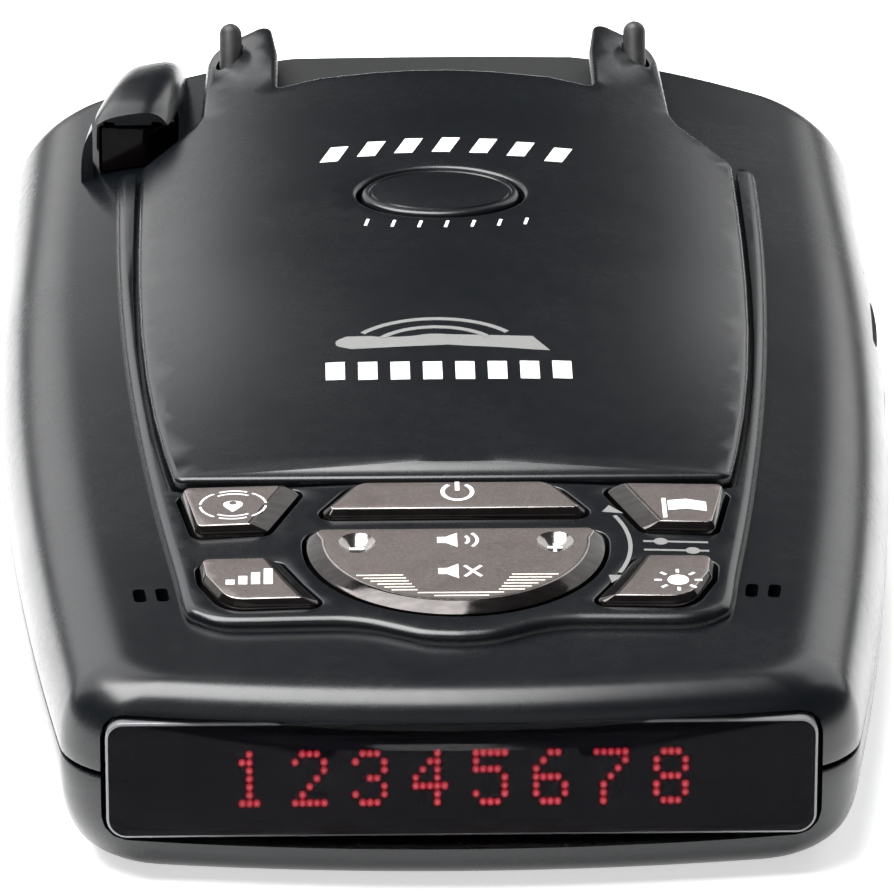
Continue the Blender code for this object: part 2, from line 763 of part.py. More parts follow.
def horn_antenna():
    """A cast horn: an open flared box with a throat at the back and a flange."""
    rows = (
        (59.0, -22.5, 10.5, 5.6, 20.6),
        (44.0, -16.0, 4.0, 8.0, 18.0),
        (35.0, -11.5, -0.5, 10.4, 15.4),
    )

    def flare(name, grow, first, last, material=None):
        bm = bmesh.new()
        loops = []
        for y, x_low, x_high, z_low, z_high in [(first, *rows[0][1:]), *rows[1:-1], (last, *rows[-1][1:])]:
            x_low, x_high, z_low, z_high = x_low - grow, x_high + grow, z_low - grow, z_high + grow
            corners = ((x_low, z_low), (x_high, z_low), (x_high, z_high), (x_low, z_high))
            loops.append([bm.verts.new(Vector((x, y, z)) * MM) for x, z in corners])
        for one, two in zip(loops, loops[1:]):
            for i in range(4):
                bm.faces.new((one[i - 1], one[i], two[i], two[i - 1]))
        bmesh.ops.holes_fill(bm, edges=bm.edges)
        return place(name, mesh_from(bm, name), material)

    horn = flare("horn_antenna", 1.1, 59.0, 34.0, cast_zinc())
    flange = box("horn_flange", Vector((-15.0, 33.0, 7.0)) * MM, Vector((3.0, 35.0, 19.0)) * MM)
    join(horn, flange)
    cut(horn, flare("horn_mouth", 0.0, 61.0, 31.0))
    return horn


def road_end_parts():
    box(
        "front_window",
        (WINDOW_LEFT, 60.4 * MM, WINDOW_LOW),
        (WINDOW_RIGHT, 62.2 * MM, WINDOW_HIGH),
        finish("window_black", (0.012, 0.012, 0.014), 0.15),
    )
    horn_antenna()
    box("mixer_board", Vector((-20.0, 31.4, 5.4)) * MM, Vector((8.0, 32.6, 20.0)) * MM, board_green())
    box("mixer_shield", Vector((-12.0, 28.0, 9.0)) * MM, Vector((0.0, 31.1, 17.0)) * MM, bright_steel())
    lens = rod(
        "front_laser_lens",
        ROAD_LENS_RADIUS,
        (ROAD_LENS.x, 59.0 * MM, ROAD_LENS.z),
        (ROAD_LENS.x, 61.6 * MM, ROAD_LENS.z),
        smoked_window(),
        segments=32,
    )
    bevel = lens.modifiers.new("dome", "BEVEL")
    bevel.width, bevel.segments = 0.7 * MM, 2
    smooth(lens)
    x, z = ROAD_LENS.x, ROAD_LENS.z
    box(
        "front_laser_board",
        (x - 6 * MM, 46 * MM, z - 6 * MM),
        (x + 6 * MM, 47.2 * MM, z + 6 * MM),
        board_green(),
    )
    rod(
        "front_laser_sensor",
        2.6 * MM,
        (x, 47.5 * MM, z),
        (x, 52.5 * MM, z),
        finish("dark_epoxy", (0.03, 0.006, 0.02), 0.2),
    )


def rear_laser_parts():
    """The window that looks back over the roof line of the car, and the sensor behind it."""
    nose = [
        (-29.9, 45.0, 0.3),
        (-29.9, 42.3, 0.5),
        (-26.0, 41.6, 1.2),
        (-23.8, 43.2, 1.0),
        (-23.7, 45.0, 0.3),
    ]
    window = prism("rear_laser_lens", filleted(nose[::-1]), 22.0 * MM, 27.6 * MM, smoked_window())
    seat = draped_slab(
        "lens_seat",
        lambda x, y: top_height(x, y) + 0.4 * MM,
        lambda x, y: 28.6 * MM,
        (-34 * MM, 37 * MM),
        (-20 * MM, 47 * MM),
        (6, 4),
    )
    keep(window, seat)
    smooth(window)
    box(
        "rear_laser_sensor",
        Vector((-28.6, 45.4, 25.3)) * MM,
        Vector((-25.0, 48.2, 27.5)) * MM,
        dark_component(),
    )


# Boards and what they carry


def board_parts():
    box("main_board", Vector((-31.0, -23.0, 8.4)) * MM, Vector((31.0, 27.6, 9.6)) * MM, board_green())
    box("gps_receiver", Vector((-13.5, -22.0, 9.9)) * MM, Vector((13.5, 5.0, 12.4)) * MM, bright_steel())
    patch = finish("antenna_ceramic", (0.55, 0.47, 0.38), 0.6)
    box("gps_antenna", Vector((-12.5, -21.0, 12.7)) * MM, Vector((12.5, 4.0, 16.7)) * MM, patch)
    for number, (x, y) in enumerate(BOARD_SCREWS, 1):
        cut(
            bpy.data.objects["main_board"],
            rod(f"board_hole_{number}", 1.05 * MM, (x, y, 7 * MM), (x, y, 11 * MM)),
        )
        screw(f"board_screw_{number}", x, y, 9.9 * MM, 0.7 * MM, 1.7 * MM, 5.5 * MM, down=True)


def socket(name, low, high, mouth_low, mouth_high, material):
    """A box with a deep mouth towards +X."""
    body = box(name, low, high, material)
    cut(body, box(name + "_mouth", mouth_low, mouth_high))
    return body


def socket_parts():
    p, u, e = POWER_JACK, USB_JACK, EARPHONE_JACK
    black = dark_component()
    socket(
        "power_jack",
        p - Vector((6.5, 6.25, 3.8)) * MM,
        p + Vector((6.4, 6.25, 3.6)) * MM,
        p - Vector((4.6, 4.9, 3.0)) * MM,
        p + Vector((8.0, 4.9, 2.9)) * MM,
        black,
    )
    socket(
        "usb_jack",
        u - Vector((4.5, 3.9, 2.1)) * MM,
        u + Vector((4.3, 3.9, 2.0)) * MM,
        u - Vector((3.5, 3.3, 1.5)) * MM,
        u + Vector((6.0, 3.3, 1.4)) * MM,
        bright_steel(),
    )
    ear = box("earphone_jack", e - Vector((6.0, 3.0, 3.1)) * MM, e + Vector((2.6, 3.0, 3.0)) * MM, black)
    nose = rod("earphone_nose", 2.7 * MM, e + Vector((2.0, 0, 0)) * MM, e + Vector((5.4, 0, 0)) * MM)
    bore = rod("earphone_bore", 1.8 * MM, e + Vector((-4.0, 0, 0)) * MM, e + Vector((8.0, 0, 0)) * MM)
    join(ear, nose)
    cut(ear, bore)


def speaker_parts():
    centre = Vector((0, 6.0, 0)) * MM
    rod(
        "speaker_basket",
        13.6 * MM,
        centre + Vector((0, 0, 2.4)) * MM,
        centre + Vector((0, 0, 4.4)) * MM,
        bright_steel(),
        segments=32,
    )
    basket = bpy.data.objects["speaker_basket"]
    cut(
        basket,
        rod(
            "basket_mouth",
            12.4 * MM,
            centre + Vector((0, 0, 1.0)) * MM,
            centre + Vector((0, 0, 3.8)) * MM,
            segments=32,
        ),
    )
    rod(
        "speaker_cone",
        12.0 * MM,
        centre + Vector((0, 0, 2.5)) * MM,
        centre + Vector((0, 0, 3.4)) * MM,
        finish("cone_paper", (0.05, 0.05, 0.05), 0.9),
        end_radius=6.0 * MM,
        segments=32,
    )
    rod(
        "speaker_magnet",
        7.5 * MM,
        centre + Vector((0, 0, 4.7)) * MM,
        centre + Vector((0, 0, 7.6)) * MM,
        dark_component(),
        segments=28,
    )


def screw(name, x, y, head_base, head_high, head_radius, shank, down=False):
    """A cross-head screw. It points up into the housing, or down into a boss."""
    way = -1 if down else 1
    body = rod(
        name,
        head_radius,
        (x, y, head_base),
        (x, y, head_base - way * head_high),
        bright_steel(),
        segments=20,
    )
    shank_radius = 0.75 * MM if down else 1.05 * MM
    join(
        body,
        rod(
            name + "_shank",
            shank_radius,
            (x, y, head_base - way * 0.3 * MM),
            (x, y, head_base + way * shank),
            segments=14,
        ),
    )
    top = head_base - way * head_high
    deep, wide, long = 0.5 * head_high, 0.25 * MM, 0.62 * head_radius
    for a, b in ((wide, long), (long, wide)):
        low = Vector((x - a, y - b, min(top - way * MM, top + way * deep)))
        high = Vector((x + a, y + b, max(top - way * MM, top + way * deep)))
        cut(body, box(name + "_recess", low, high))
    return body


# Keys and switches


def switch(name, x, y, top, frame):
    """A tact switch: a square body and its round plunger."""
    along = along_deck(y)
    body = box(
        name,
        (x - 2.2 * MM, along - 2.2 * MM, BOARD_TOP + FIT),
        (x + 2.2 * MM, along + 2.2 * MM, top - 0.6 * MM),
        dark_component(),
        frame,
    )
    join(
        body,
        rod(
            name + "_plunger",
            1.1 * MM,
            (x, along, top - 1.0 * MM),
            (x, along, top),
            None,
            frame,
            segments=16,
        ),
    )


def key(name, outline, stem_x, stem_y, frame):
    """A key cap, its retaining flange under the housing and the stem that reaches its switch."""
    cap = prism(name, outline, FLANGE_TOP, DECK_RAISE + KEY_PROUD, key_paint(), frame)
    flange = prism(
        name + "_flange",
        grown(outline, FLANGE_WIDER),
        FLANGE_TOP - FLANGE_THICK,
        FLANGE_TOP + 0.02 * MM,
        None,
        frame,
    )
    along = along_deck(stem_y)
    stem = rod(
        name + "_stem",
        1.4 * MM,
        (stem_x, along, FLANGE_TOP - 0.3 * MM),
        (stem_x, along, STEM_END),
        None,
        frame,
        segments=16,
    )
    join(cap, flange, stem)
    return cap


KEY_STEMS = {
    "gps_key": (-17.6, -32.4),
    "sensitivity_key": (-16.4, -45.0),
    "power_key": (0.0, -31.3),
    "mark_key": (17.6, -32.4),
    "brightness_key": (16.4, -45.0),
}


def key_parts(frame):
    plans = dict(key_plans(frame))
    for name, (x, y) in KEY_STEMS.items():
        key(name, plans[name], x * MM, y * MM, frame)
        switch(name.replace("_key", "_switch"), x * MM, y * MM, SWITCH_TOP, frame)
    volume = prism("volume_key", plans["volume_key"], FLANGE_TOP, DECK_RAISE + KEY_PROUD, key_paint(), frame)
    low = FLANGE_TOP - FLANGE_THICK
    flange = prism(
        "volume_flange",
        grown(plans["volume_key"], VOLUME_FLANGE_WIDER),
        low,
        FLANGE_TOP + 0.02 * MM,
        None,
        frame,
    )
    ears = box(
        "volume_ears",
        (-4 * MM, along_deck(-51.4 * MM), low - 0.01 * MM),
        (4 * MM, along_deck(-35.7 * MM), FLANGE_TOP + 0.03 * MM),
        None,
        frame,
    )
    join(volume, flange, ears)
    for side, name in ((-1, "volume_down_switch"), (1, "volume_up_switch")):
        x, y = side * 8.4 * MM, -40.6 * MM
        along = along_deck(y)
        join(
            volume,
            rod(
                "volume_stem",
                1.2 * MM,
                (x, along, low + 0.3 * MM),
                (x, along, STEM_END),
                None,
                frame,
                segments=16,
            ),
        )
        switch(name, x, y, SWITCH_TOP - 0.2 * MM, frame)
    along = along_deck(-42.5 * MM)
    carrier = box(
        "mute_carrier",
        (-4.6 * MM, along - 4.0 * MM, -5.5 * MM),
        (4.6 * MM, along + 4.0 * MM, -4.8 * MM),
        dark_component(),
        frame,
    )
    join(
        carrier,
        rod(
            "carrier_ridge",
            0.6 * MM,
            (0, along - 3.6 * MM, -4.8 * MM),
            (0, along + 3.6 * MM, -4.8 * MM),
            None,
            frame,
            segments=16,
        ),
    )
    switch("mute_switch", 0.0, -42.5 * MM, SWITCH_TOP - 0.8 * MM, frame)
    board = box(
        "key_board",
        (-23.0 * MM, along_deck(-51.6 * MM), BOARD_TOP - BOARD_THICK),
        (23.0 * MM, along_deck(-26.6 * MM), BOARD_TOP),
        board_green(),
        frame,
    )
    box(
        "board_header",
        Vector((-8.0, -29.0, 0)) * MM + Vector((0, 0, 5.2 * MM)),
        Vector((8.0, -26.0, 7.6)) * MM,
        dark_component(),
    )
    return board


# Release button


def release_parts(frame):
    along = BUTTON_ALONG
    button = prism(
        "release_button",
        oval(BUTTON_HALF_X, BUTTON_HALF_Y, along),
        BUTTON_BASE,
        BUTTON_TOP,
        satin_black(),
        frame,
    )
    join(
        button,
        rod(
            "button_stem",
            2.0 * MM,
            (0, along, LATCH_TOP + FIT),
            (0, along, BUTTON_BASE + 0.5 * MM),
            None,
            frame,
        ),
    )
    smooth(button)
    latch = box(
        "release_latch",
        (-6.0 * MM, along - 4.5 * MM, LATCH_TOP - LATCH_THICK),
        (6.0 * MM, along + 6.0 * MM, LATCH_TOP),
        dark_component(),
        frame,
    )
    tooth = box(
        "latch_tooth",
        (-3.0 * MM, along + 3.6 * MM, LATCH_TOP - 0.5 * MM),
        (3.0 * MM, along + 5.4 * MM, 0.6 * MM),
        None,
        frame,
    )
    join(latch, tooth)
    bridge = box(
        "spring_bridge",
        (-14.0 * MM, along - 3.0 * MM, BRIDGE_TOP - 1.0 * MM),
        (14.0 * MM, along + 3.0 * MM, BRIDGE_TOP),
        bright_steel(),
        frame,
    )
    for side in (-1, 1):
        x = side * 11.5 * MM
        hole = rod(
            "bridge_hole",
            1.0 * MM,
            (x, along, BRIDGE_TOP - 2 * MM),
            (x, along, BRIDGE_TOP + 1 * MM),
            None,
            frame,
        )
        cut(bridge, hole)
        name = "bridge_screw_left" if side < 0 else "bridge_screw_right"
        head_top = BRIDGE_TOP - 1.0 * MM - FIT
        body = rod(
            name,
            1.6 * MM,
            (x, along, head_top - 1.0 * MM),
            (x, along, head_top),
            bright_steel(),
            frame,
            segments=18,
        )
        join(
            body,
            rod(
                name + "_shank",
                0.7 * MM,
                (x, along, head_top - 0.3 * MM),
                (x, along, head_top + 5.0 * MM),
                None,
                frame,
                segments=12,
            ),
        )
    release_spring(frame)


def release_spring(frame):
    """A coil spring between the latch and the bridge."""
    low, high = BRIDGE_TOP + FIT + SPRING_WIRE, LATCH_TOP - LATCH_THICK - FIT - SPRING_WIRE
    per_turn = 12
    curve = bpy.data.curves.new("release_spring", "CURVE")
    curve.dimensions = "3D"
    curve.bevel_depth = SPRING_WIRE
    curve.bevel_resolution = 1
    curve.use_fill_caps = True
    spline = curve.splines.new("POLY")
    count = SPRING_TURNS * per_turn + 1
    spline.points.add(count - 1)
    for i, point in enumerate(spline.points):
        angle = 2 * math.pi * i / per_turn
        height = low + (high - low) * i / (count - 1)
        place_at = (SPRING_RADIUS * math.cos(angle), BUTTON_ALONG + SPRING_RADIUS * math.sin(angle), height)
        point.co = (*place_at, 1.0)
    spring = bpy.data.objects.new("release_spring", curve)
    bpy.data.collections["radar_detector"].objects.link(spring)
    curve.materials.append(bright_steel())
    spring.parent = frame


def main():
    start_scene()
    frame = deck_frame()
    bpy.context.view_layer.update()
    notches = side_notches()
    top_housing(frame, notches)
    bottom_housing(notches)
    mount_cowl(frame)
    for side, name in ((-1, "bumper_left"), (1, "bumper_right")):
        smooth(bumper_shape(name, side, 0.0, soft_rubber()))
    display_parts()
    road_end_parts()
    rear_laser_parts()
    board_parts()
    socket_parts()
    speaker_parts()
    for number, (x, y) in enumerate(SCREWS, 1):
        screw(f"housing_screw_{number}", x, y, 2.9 * MM, 1.5 * MM, 2.1 * MM, 8.0 * MM)
    key_parts(frame)
    release_parts(frame)


main()
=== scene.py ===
"""Looks of a windscreen radar and laser detector: shells, keys, display, printed marks and their finishes.

Sizes are in millimetres; Skin and the camera turn them into metres. X is across, Y runs from the display end
to the road end and Z is up, as in the CAD frame.
"""

import json
import math

import bmesh
import bpy
import numpy as np
from mathutils import Matrix, Vector
from mathutils.geometry import delaunay_2d_cdt

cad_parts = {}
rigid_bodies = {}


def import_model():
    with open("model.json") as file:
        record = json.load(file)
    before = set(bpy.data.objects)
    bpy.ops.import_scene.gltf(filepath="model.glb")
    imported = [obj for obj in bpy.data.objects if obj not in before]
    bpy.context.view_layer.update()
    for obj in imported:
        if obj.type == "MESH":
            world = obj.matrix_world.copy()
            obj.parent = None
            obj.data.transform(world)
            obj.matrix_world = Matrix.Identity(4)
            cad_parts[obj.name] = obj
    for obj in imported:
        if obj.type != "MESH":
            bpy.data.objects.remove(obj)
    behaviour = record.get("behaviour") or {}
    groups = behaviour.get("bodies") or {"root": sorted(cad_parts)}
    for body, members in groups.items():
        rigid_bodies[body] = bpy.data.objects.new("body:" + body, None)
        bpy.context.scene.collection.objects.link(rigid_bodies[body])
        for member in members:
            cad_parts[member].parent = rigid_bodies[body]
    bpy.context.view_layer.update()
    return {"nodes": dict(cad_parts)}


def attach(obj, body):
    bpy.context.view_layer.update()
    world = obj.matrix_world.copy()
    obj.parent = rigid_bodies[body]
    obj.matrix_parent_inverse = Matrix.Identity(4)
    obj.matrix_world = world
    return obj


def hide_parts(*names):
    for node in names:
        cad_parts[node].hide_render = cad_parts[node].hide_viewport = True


for leftover in list(bpy.data.objects):
    bpy.data.objects.remove(leftover)
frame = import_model()

MM = 0.001
HALF_LENGTH = 63.4
SIDE_ROLL, NEAR_ROLL, FAR_ROLL = 6.5, 4.6, 2.0  # how far the rounded top edges reach in
BELLY_SIDE, BELLY_NEAR, BELLY_FAR = 7.5, 6.4, 4.0
SEAM_GAP = 0.3
DECK_RAISE = 1.0
COWL_NEAR = -27.5
FORK_IN, FORK_TIP = 14.2, 61.2
ROOF_EDGE = 49.4
SLOT_HALF, SLOT_START, SLOT_DEEP, SLOT_ROOF = 13.8, 12.0, 0.8, 1.5
KEY_TOP = DECK_RAISE + 0.6
KEY_CLEAR = 0.35
BUTTON_Y, BUTTON_X_HALF, BUTTON_Y_HALF, BUTTON_RISE = 23.0, 6.9, 4.7, 3.6
LENS_HALF, LENS_LOW, LENS_HIGH, LENS_FRONT = 27.6, 3.9, 13.6, -63.35
END_BOW = 0.0033
LENS_GAP = 0.4  # between the display lens and its opening


# Form of the housing


def smooth_step(value):
    value = min(1.0, max(0.0, value))
    return value * value * (3 - 2 * value)


def share(y):
    """0 at the display end and 1 at the road end."""
    return (y + 62) / 124


def top_height(x, y):
    return 16 + 12.5 * share(y) - 0.0046 * share(y) * x * x


def seam_height(y):
    return 9 + 5 * share(y)


def half_width(y):
    return 38.6 - 0.00092 * max(0.0, 30 - y) ** 2


def bowed(x, y):
    return y + x * x * (END_BOW * (1 - share(y)) - 0.0015 * share(y))


def shell_height(x, y):
    """The top shell, with the level floor of the bracket slot let into it."""
    inside = smooth_step((14.6 - abs(x)) / 0.6) * smooth_step((y - SLOT_START) / 2)
    floor = top_height(0, y) - SLOT_DEEP
    return top_height(x, y) + (floor - top_height(x, y)) * inside


def cowl_height(x, y):
    rise = smooth_step((y - COWL_NEAR) / 40)
    ridge = 0.5 * math.exp(-(((abs(x) - 15.2) / 2.0) ** 2))
    crest = smooth_step((y - 48) / 8) * (ridge - 0.8 * smooth_step((abs(x) - 17) / 4))
    return top_height(x, y) + 1.6 + 1.7 * (0.25 + 0.75 * rise) * (1 - (abs(x) / 27) ** 4) + crest


def deck_height(x, y):
    return top_height(x, y) + DECK_RAISE


def key_height(x, y):
    """The keys follow the deck, but are a little flatter across."""
    return top_height(0.7 * x, y) + KEY_TOP


# Outlines: closed lists of (x, y, corner radius), anticlockwise


def filleted(corners, steps=7):
    points = []
    for i, (x, y, radius) in enumerate(corners):
        here = Vector((x, y))
        before = (Vector(corners[i - 1][:2]) - here).normalized()
        after = (Vector(corners[(i + 1) % len(corners)][:2]) - here).normalized()
        half = before.angle(after) / 2
        if radius == 0 or half > 1.54:
            points += [here] if radius == 0 else [here] * (steps + 1)
            continue
        reach = radius / math.tan(half)
        centre = here + (before + after).normalized() * (radius / math.sin(half))
        first, last = here + before * reach - centre, here + after * reach - centre
        turn = first.angle_signed(last)
        points += [centre + Matrix.Rotation(-turn * k / steps, 2) @ first for k in range(steps + 1)]
    return [(p[0], p[1]) for p in points]


def moved_in(corners, distance, scales=None):
    """The outline with every side moved inwards and every corner's radius changed to suit.

    A corner's scale is one number, or a pair for the sides before and after it.
    """
    moved = []
    for i, (x, y, radius) in enumerate(corners):
        scale = scales[i] if scales else 1.0
        before_scale, after_scale = scale if isinstance(scale, tuple) else (scale, scale)
        step = distance * (before_scale + after_scale) / 2
        here = Vector((x, y))
        before = (here - Vector(corners[i - 1][:2])).normalized()
        after = (Vector(corners[(i + 1) % len(corners)][:2]) - here).normalized()
        normals = [Vector((-d.y, d.x)) for d in (before, after)]
        if before_scale == after_scale:
            middle = (normals[0] + normals[1]).normalized()
            here = here + middle * (step / max(0.3, middle.dot(normals[0])))
        else:
            across = normals[0].dot(normals[1])
            one = (before_scale - across * after_scale) / (1 - across**2)
            two = (after_scale - across * before_scale) / (1 - across**2)
            here = here + distance * (one * normals[0] + two * normals[1])
        turns_left = before.cross(after) > 0
        smaller = max(0.12, radius - step) if turns_left else radius + step
        moved.append((here.x, here.y, smaller if radius else 0))
    return moved


def curve_through(points, per_span=5):
    """A smooth open curve through points."""
    points = [Vector(p) for p in points]
    padded = [2 * points[0] - points[1], *points, 2 * points[-1] - points[-2]]
    made = []
    for a, b, c, d in zip(padded, padded[1:], padded[2:], padded[3:]):
        for k in range(per_span):
            t = k / per_span
            low_terms = 2 * b + (c - a) * t + (2 * a - 5 * b + 4 * c - d) * t**2
            made.append(0.5 * (low_terms + (3 * b - a - 3 * c + d) * t**3))
    return [(p.x, p.y, 0) for p in [*made, points[-1]]]


def mirrored(right_half):
    """A whole outline from its right half, which runs from the display end towards the road end."""
    return right_half + [(-x, y, radius) for x, y, radius in reversed(right_half)]


def housing_loop(side_in, near_in, far_in, near_corner, far_corner):
    """A ring of the housing's plan as (x, y, how much it belongs to the display end, and to the road end)."""
    near_y, far_y = -HALF_LENGTH + near_in, HALF_LENGTH - far_in

    def side(y):
        return half_width(y) - side_in

    def corner(start, start_way, end, end_way, radius, steps):
        one = Vector(start) + Vector(start_way).normalized() * 0.5523 * radius
        two = Vector(end) - Vector(end_way).normalized() * 0.5523 * radius
        for k in range(1, steps):
            t = k / steps
            near_start = (1 - t) ** 3 * Vector(start) + 3 * (1 - t) ** 2 * t * one
            yield near_start + 3 * (1 - t) * t**2 * two + t**3 * Vector(end)

    def lean(y):
        return (side(y + 1) - side(y - 1), 2.0)

    near_x, near_end = side(near_y) - near_corner, near_y + near_corner
    far_x, far_end = side(far_y) - far_corner, far_y - far_corner
    half = [(near_x * k / 14, near_y, 1, 0) for k in range(15)]
    turn = list(corner((near_x, near_y), (1, 0), (side(near_end), near_end), lean(near_end), near_corner, 10))
    half += [(p.x, p.y, 1 - smooth_step(k / 10), 0) for k, p in enumerate(turn, 1)]
    steps = 44
    ys = [near_end + (far_end - near_end) * k / steps for k in range(steps + 1)]
    half += [(side(y), y, 0, 0) for y in ys]
    turn = list(corner((side(far_end), far_end), lean(far_end), (far_x, far_y), (-1, 0), far_corner, 12))
    half += [(p.x, p.y, 0, smooth_step(k / 12)) for k, p in enumerate(turn, 1)]
    half += [(far_x * (1 - k / 14), far_y, 0, 1) for k in range(15)]
    half = [(x, bowed(x, y), near, far) for x, y, near, far in half]
    return half + [(-x, y, near, far) for x, y, near, far in reversed(half[1:-1])]


def deck_half(y):
    return 28.6 - 0.00095 * (38 - y) ** 2


def cowl_half(y):
    return 26.4 - 0.000015 * (36 - y) ** 3


def deck_outline():
    """The raised lip: a U whose arms run up both sides of the cowl. Gives corners and their rim scales."""
    lip = [(0, -53.9), (2.6, -53.6), (4.7, -52.7), (6.8, -51.7), (8.8, -51.2), (11.0, -51.1), (17.0, -51.1)]
    corner = [(17.2 + 4.8 * math.sin(a), -46.3 - 4.8 * math.cos(a)) for a in (0.4, 0.8, 1.2)]
    side = [(deck_half(y), y) for y in (-42, -34, -26, -16, -6, 4, 16, 28, 38)]
    outer = curve_through(lip + corner + side, 4)
    tip = [(27.67 + 0.92 * math.cos(a), 38.3 + 0.92 * math.sin(a), 0) for a in (0.5, 1.0, 1.57, 2.1, 2.6)]
    ys = [38, 34, 30, 22, 12, 2, -7, -15, -21, -26]
    inner = [(cowl_half(y) + KEY_CLEAR, y, 0) for y in ys]
    inner += [(cowl_half(COWL_NEAR) + KEY_CLEAR, COWL_NEAR - KEY_CLEAR, 0.9), (8, COWL_NEAR - KEY_CLEAR, 0)]
    half = outer + tip + inner
    scales = [1.0] * len(outer) + [0.9, 0.8, 0.6, 0.4, 0.3] + [0.2] * len(inner)
    left = [(-x, y, radius) for x, y, radius in reversed(half[1:])]
    return half + left, scales + list(reversed(scales[1:]))


def cowl_outline():
    side = [(cowl_half(y), y, 0) for y in (-22, -15, -7, 2, 12, 20, 28)]
    half = [
        (cowl_half(COWL_NEAR), COWL_NEAR, 1.1),
        *side,
        (26.35, 37.6, 0.9),
        (23.8, 40.4, 0),
        (21.9, 42.6, 0),
    ]
    half += [
        (21.1, 44.7, 1.2),
        (20.9, 51.0, 0),
        (20.7, 58.4, 0),
        (20.1, FORK_TIP, 1.9),
        (14.8, FORK_TIP, 1.3),
    ]
    half += [
        (FORK_IN, 55.0, 0),
        (FORK_IN, 47.8, 0.4),
        (10.4, 48.9, 0),
        (5.4, 49.3, 0),
        (1.8, ROOF_EDGE + 0.1, 0),
    ]
    return mirrored(half)


def power_key_outline():
    return [(-11.2, -33.9, 0.9), (11.2, -33.9, 0.9), (8.3, -28.7, 2.0), (-8.3, -28.7, 2.0)]


def volume_key_outline():
    angles = [-math.pi * k / 40 for k in range(40, -1, -1)]
    bowl = [(11.9 * math.cos(a), -38.8 + 11.7 * math.sin(a), 0) for a in angles]
    return bowl + [(11.9, -37.9, 0), (11.6, -36.6, 1.0), (-11.6, -36.6, 1.0), (-11.9, -37.9, 0)]


def corner_key_outline(side, upper):
    """One of the four keys round the volume key; side is 1 on the right."""
    if upper:
        corners = [(12.2, -28.9, 0.7), (15.1, -36.2, 0.7), (20.8, -36.4, 0.8), (22.2, -28.9, 0.8)]
    else:
        corners = [
            (14.1, -41.5, 0.8),
            (12.5, -45.2, 0),
            (10.6, -48.9, 0.7),
            (18.3, -49.1, 2.4),
            (20.2, -44.6, 1.5),
        ]
        corners.append((20.5, -41.5, 0.8))
    return [(side * x, y, radius) for x, y, radius in corners[::side]]


def oval(x_half, y_half, centre_y=0.0, count=72):
    angles = [2 * math.pi * k / count for k in range(count)]
    return [(x_half * math.cos(a), centre_y + y_half * math.sin(a), 0) for a in angles]


def vent_outline(side, number):
    """One of the small sloping slots beside the keys."""
    x, lean = 23.5 + 1.8 * number, 0.3
    corners = [
        (x - 0.5 - lean, -45.4, 0.4),
        (x + 0.5 - lean, -45.4, 0.4),
        (x + 0.5, -43.1, 0.4),
        (x - 0.5, -43.1, 0.4),
    ]
    return [(side * cx, cy, radius) for cx, cy, radius in corners[::side]]


KEYS = {
    "gps_key": corner_key_outline(-1, True),
    "sensitivity_key": corner_key_outline(-1, False),
    "power_key": power_key_outline(),
    "mark_key": corner_key_outline(1, True),
    "brightness_key": corner_key_outline(1, False),
    "volume_key": volume_key_outline(),
}


# Surfaces


def inside(points, loops):
    """Which points lie inside an odd number of the loops."""
    found = np.zeros(len(points), bool)
    for loop in loops:
        loop = np.asarray(loop)
        x1, y1 = loop[:, 0], loop[:, 1]
        x2, y2 = np.roll(x1, -1), np.roll(y1, -1)
        px, py = points[:, :1], points[:, 1:]
        rise = np.where(y2 == y1, 1e-12, y2 - y1)
        crosses = ((y1 > py) != (y2 > py)) & (px < (x2 - x1) * (py - y1) / rise + x1)
        found ^= crosses.sum(1) % 2 == 1
    return found


def mesh_from(bm, name):
    """The mesh that a bmesh holds, which is then freed."""
    mesh = bpy.data.meshes.new(name)
    bm.to_mesh(mesh)
    bm.free()
    return mesh


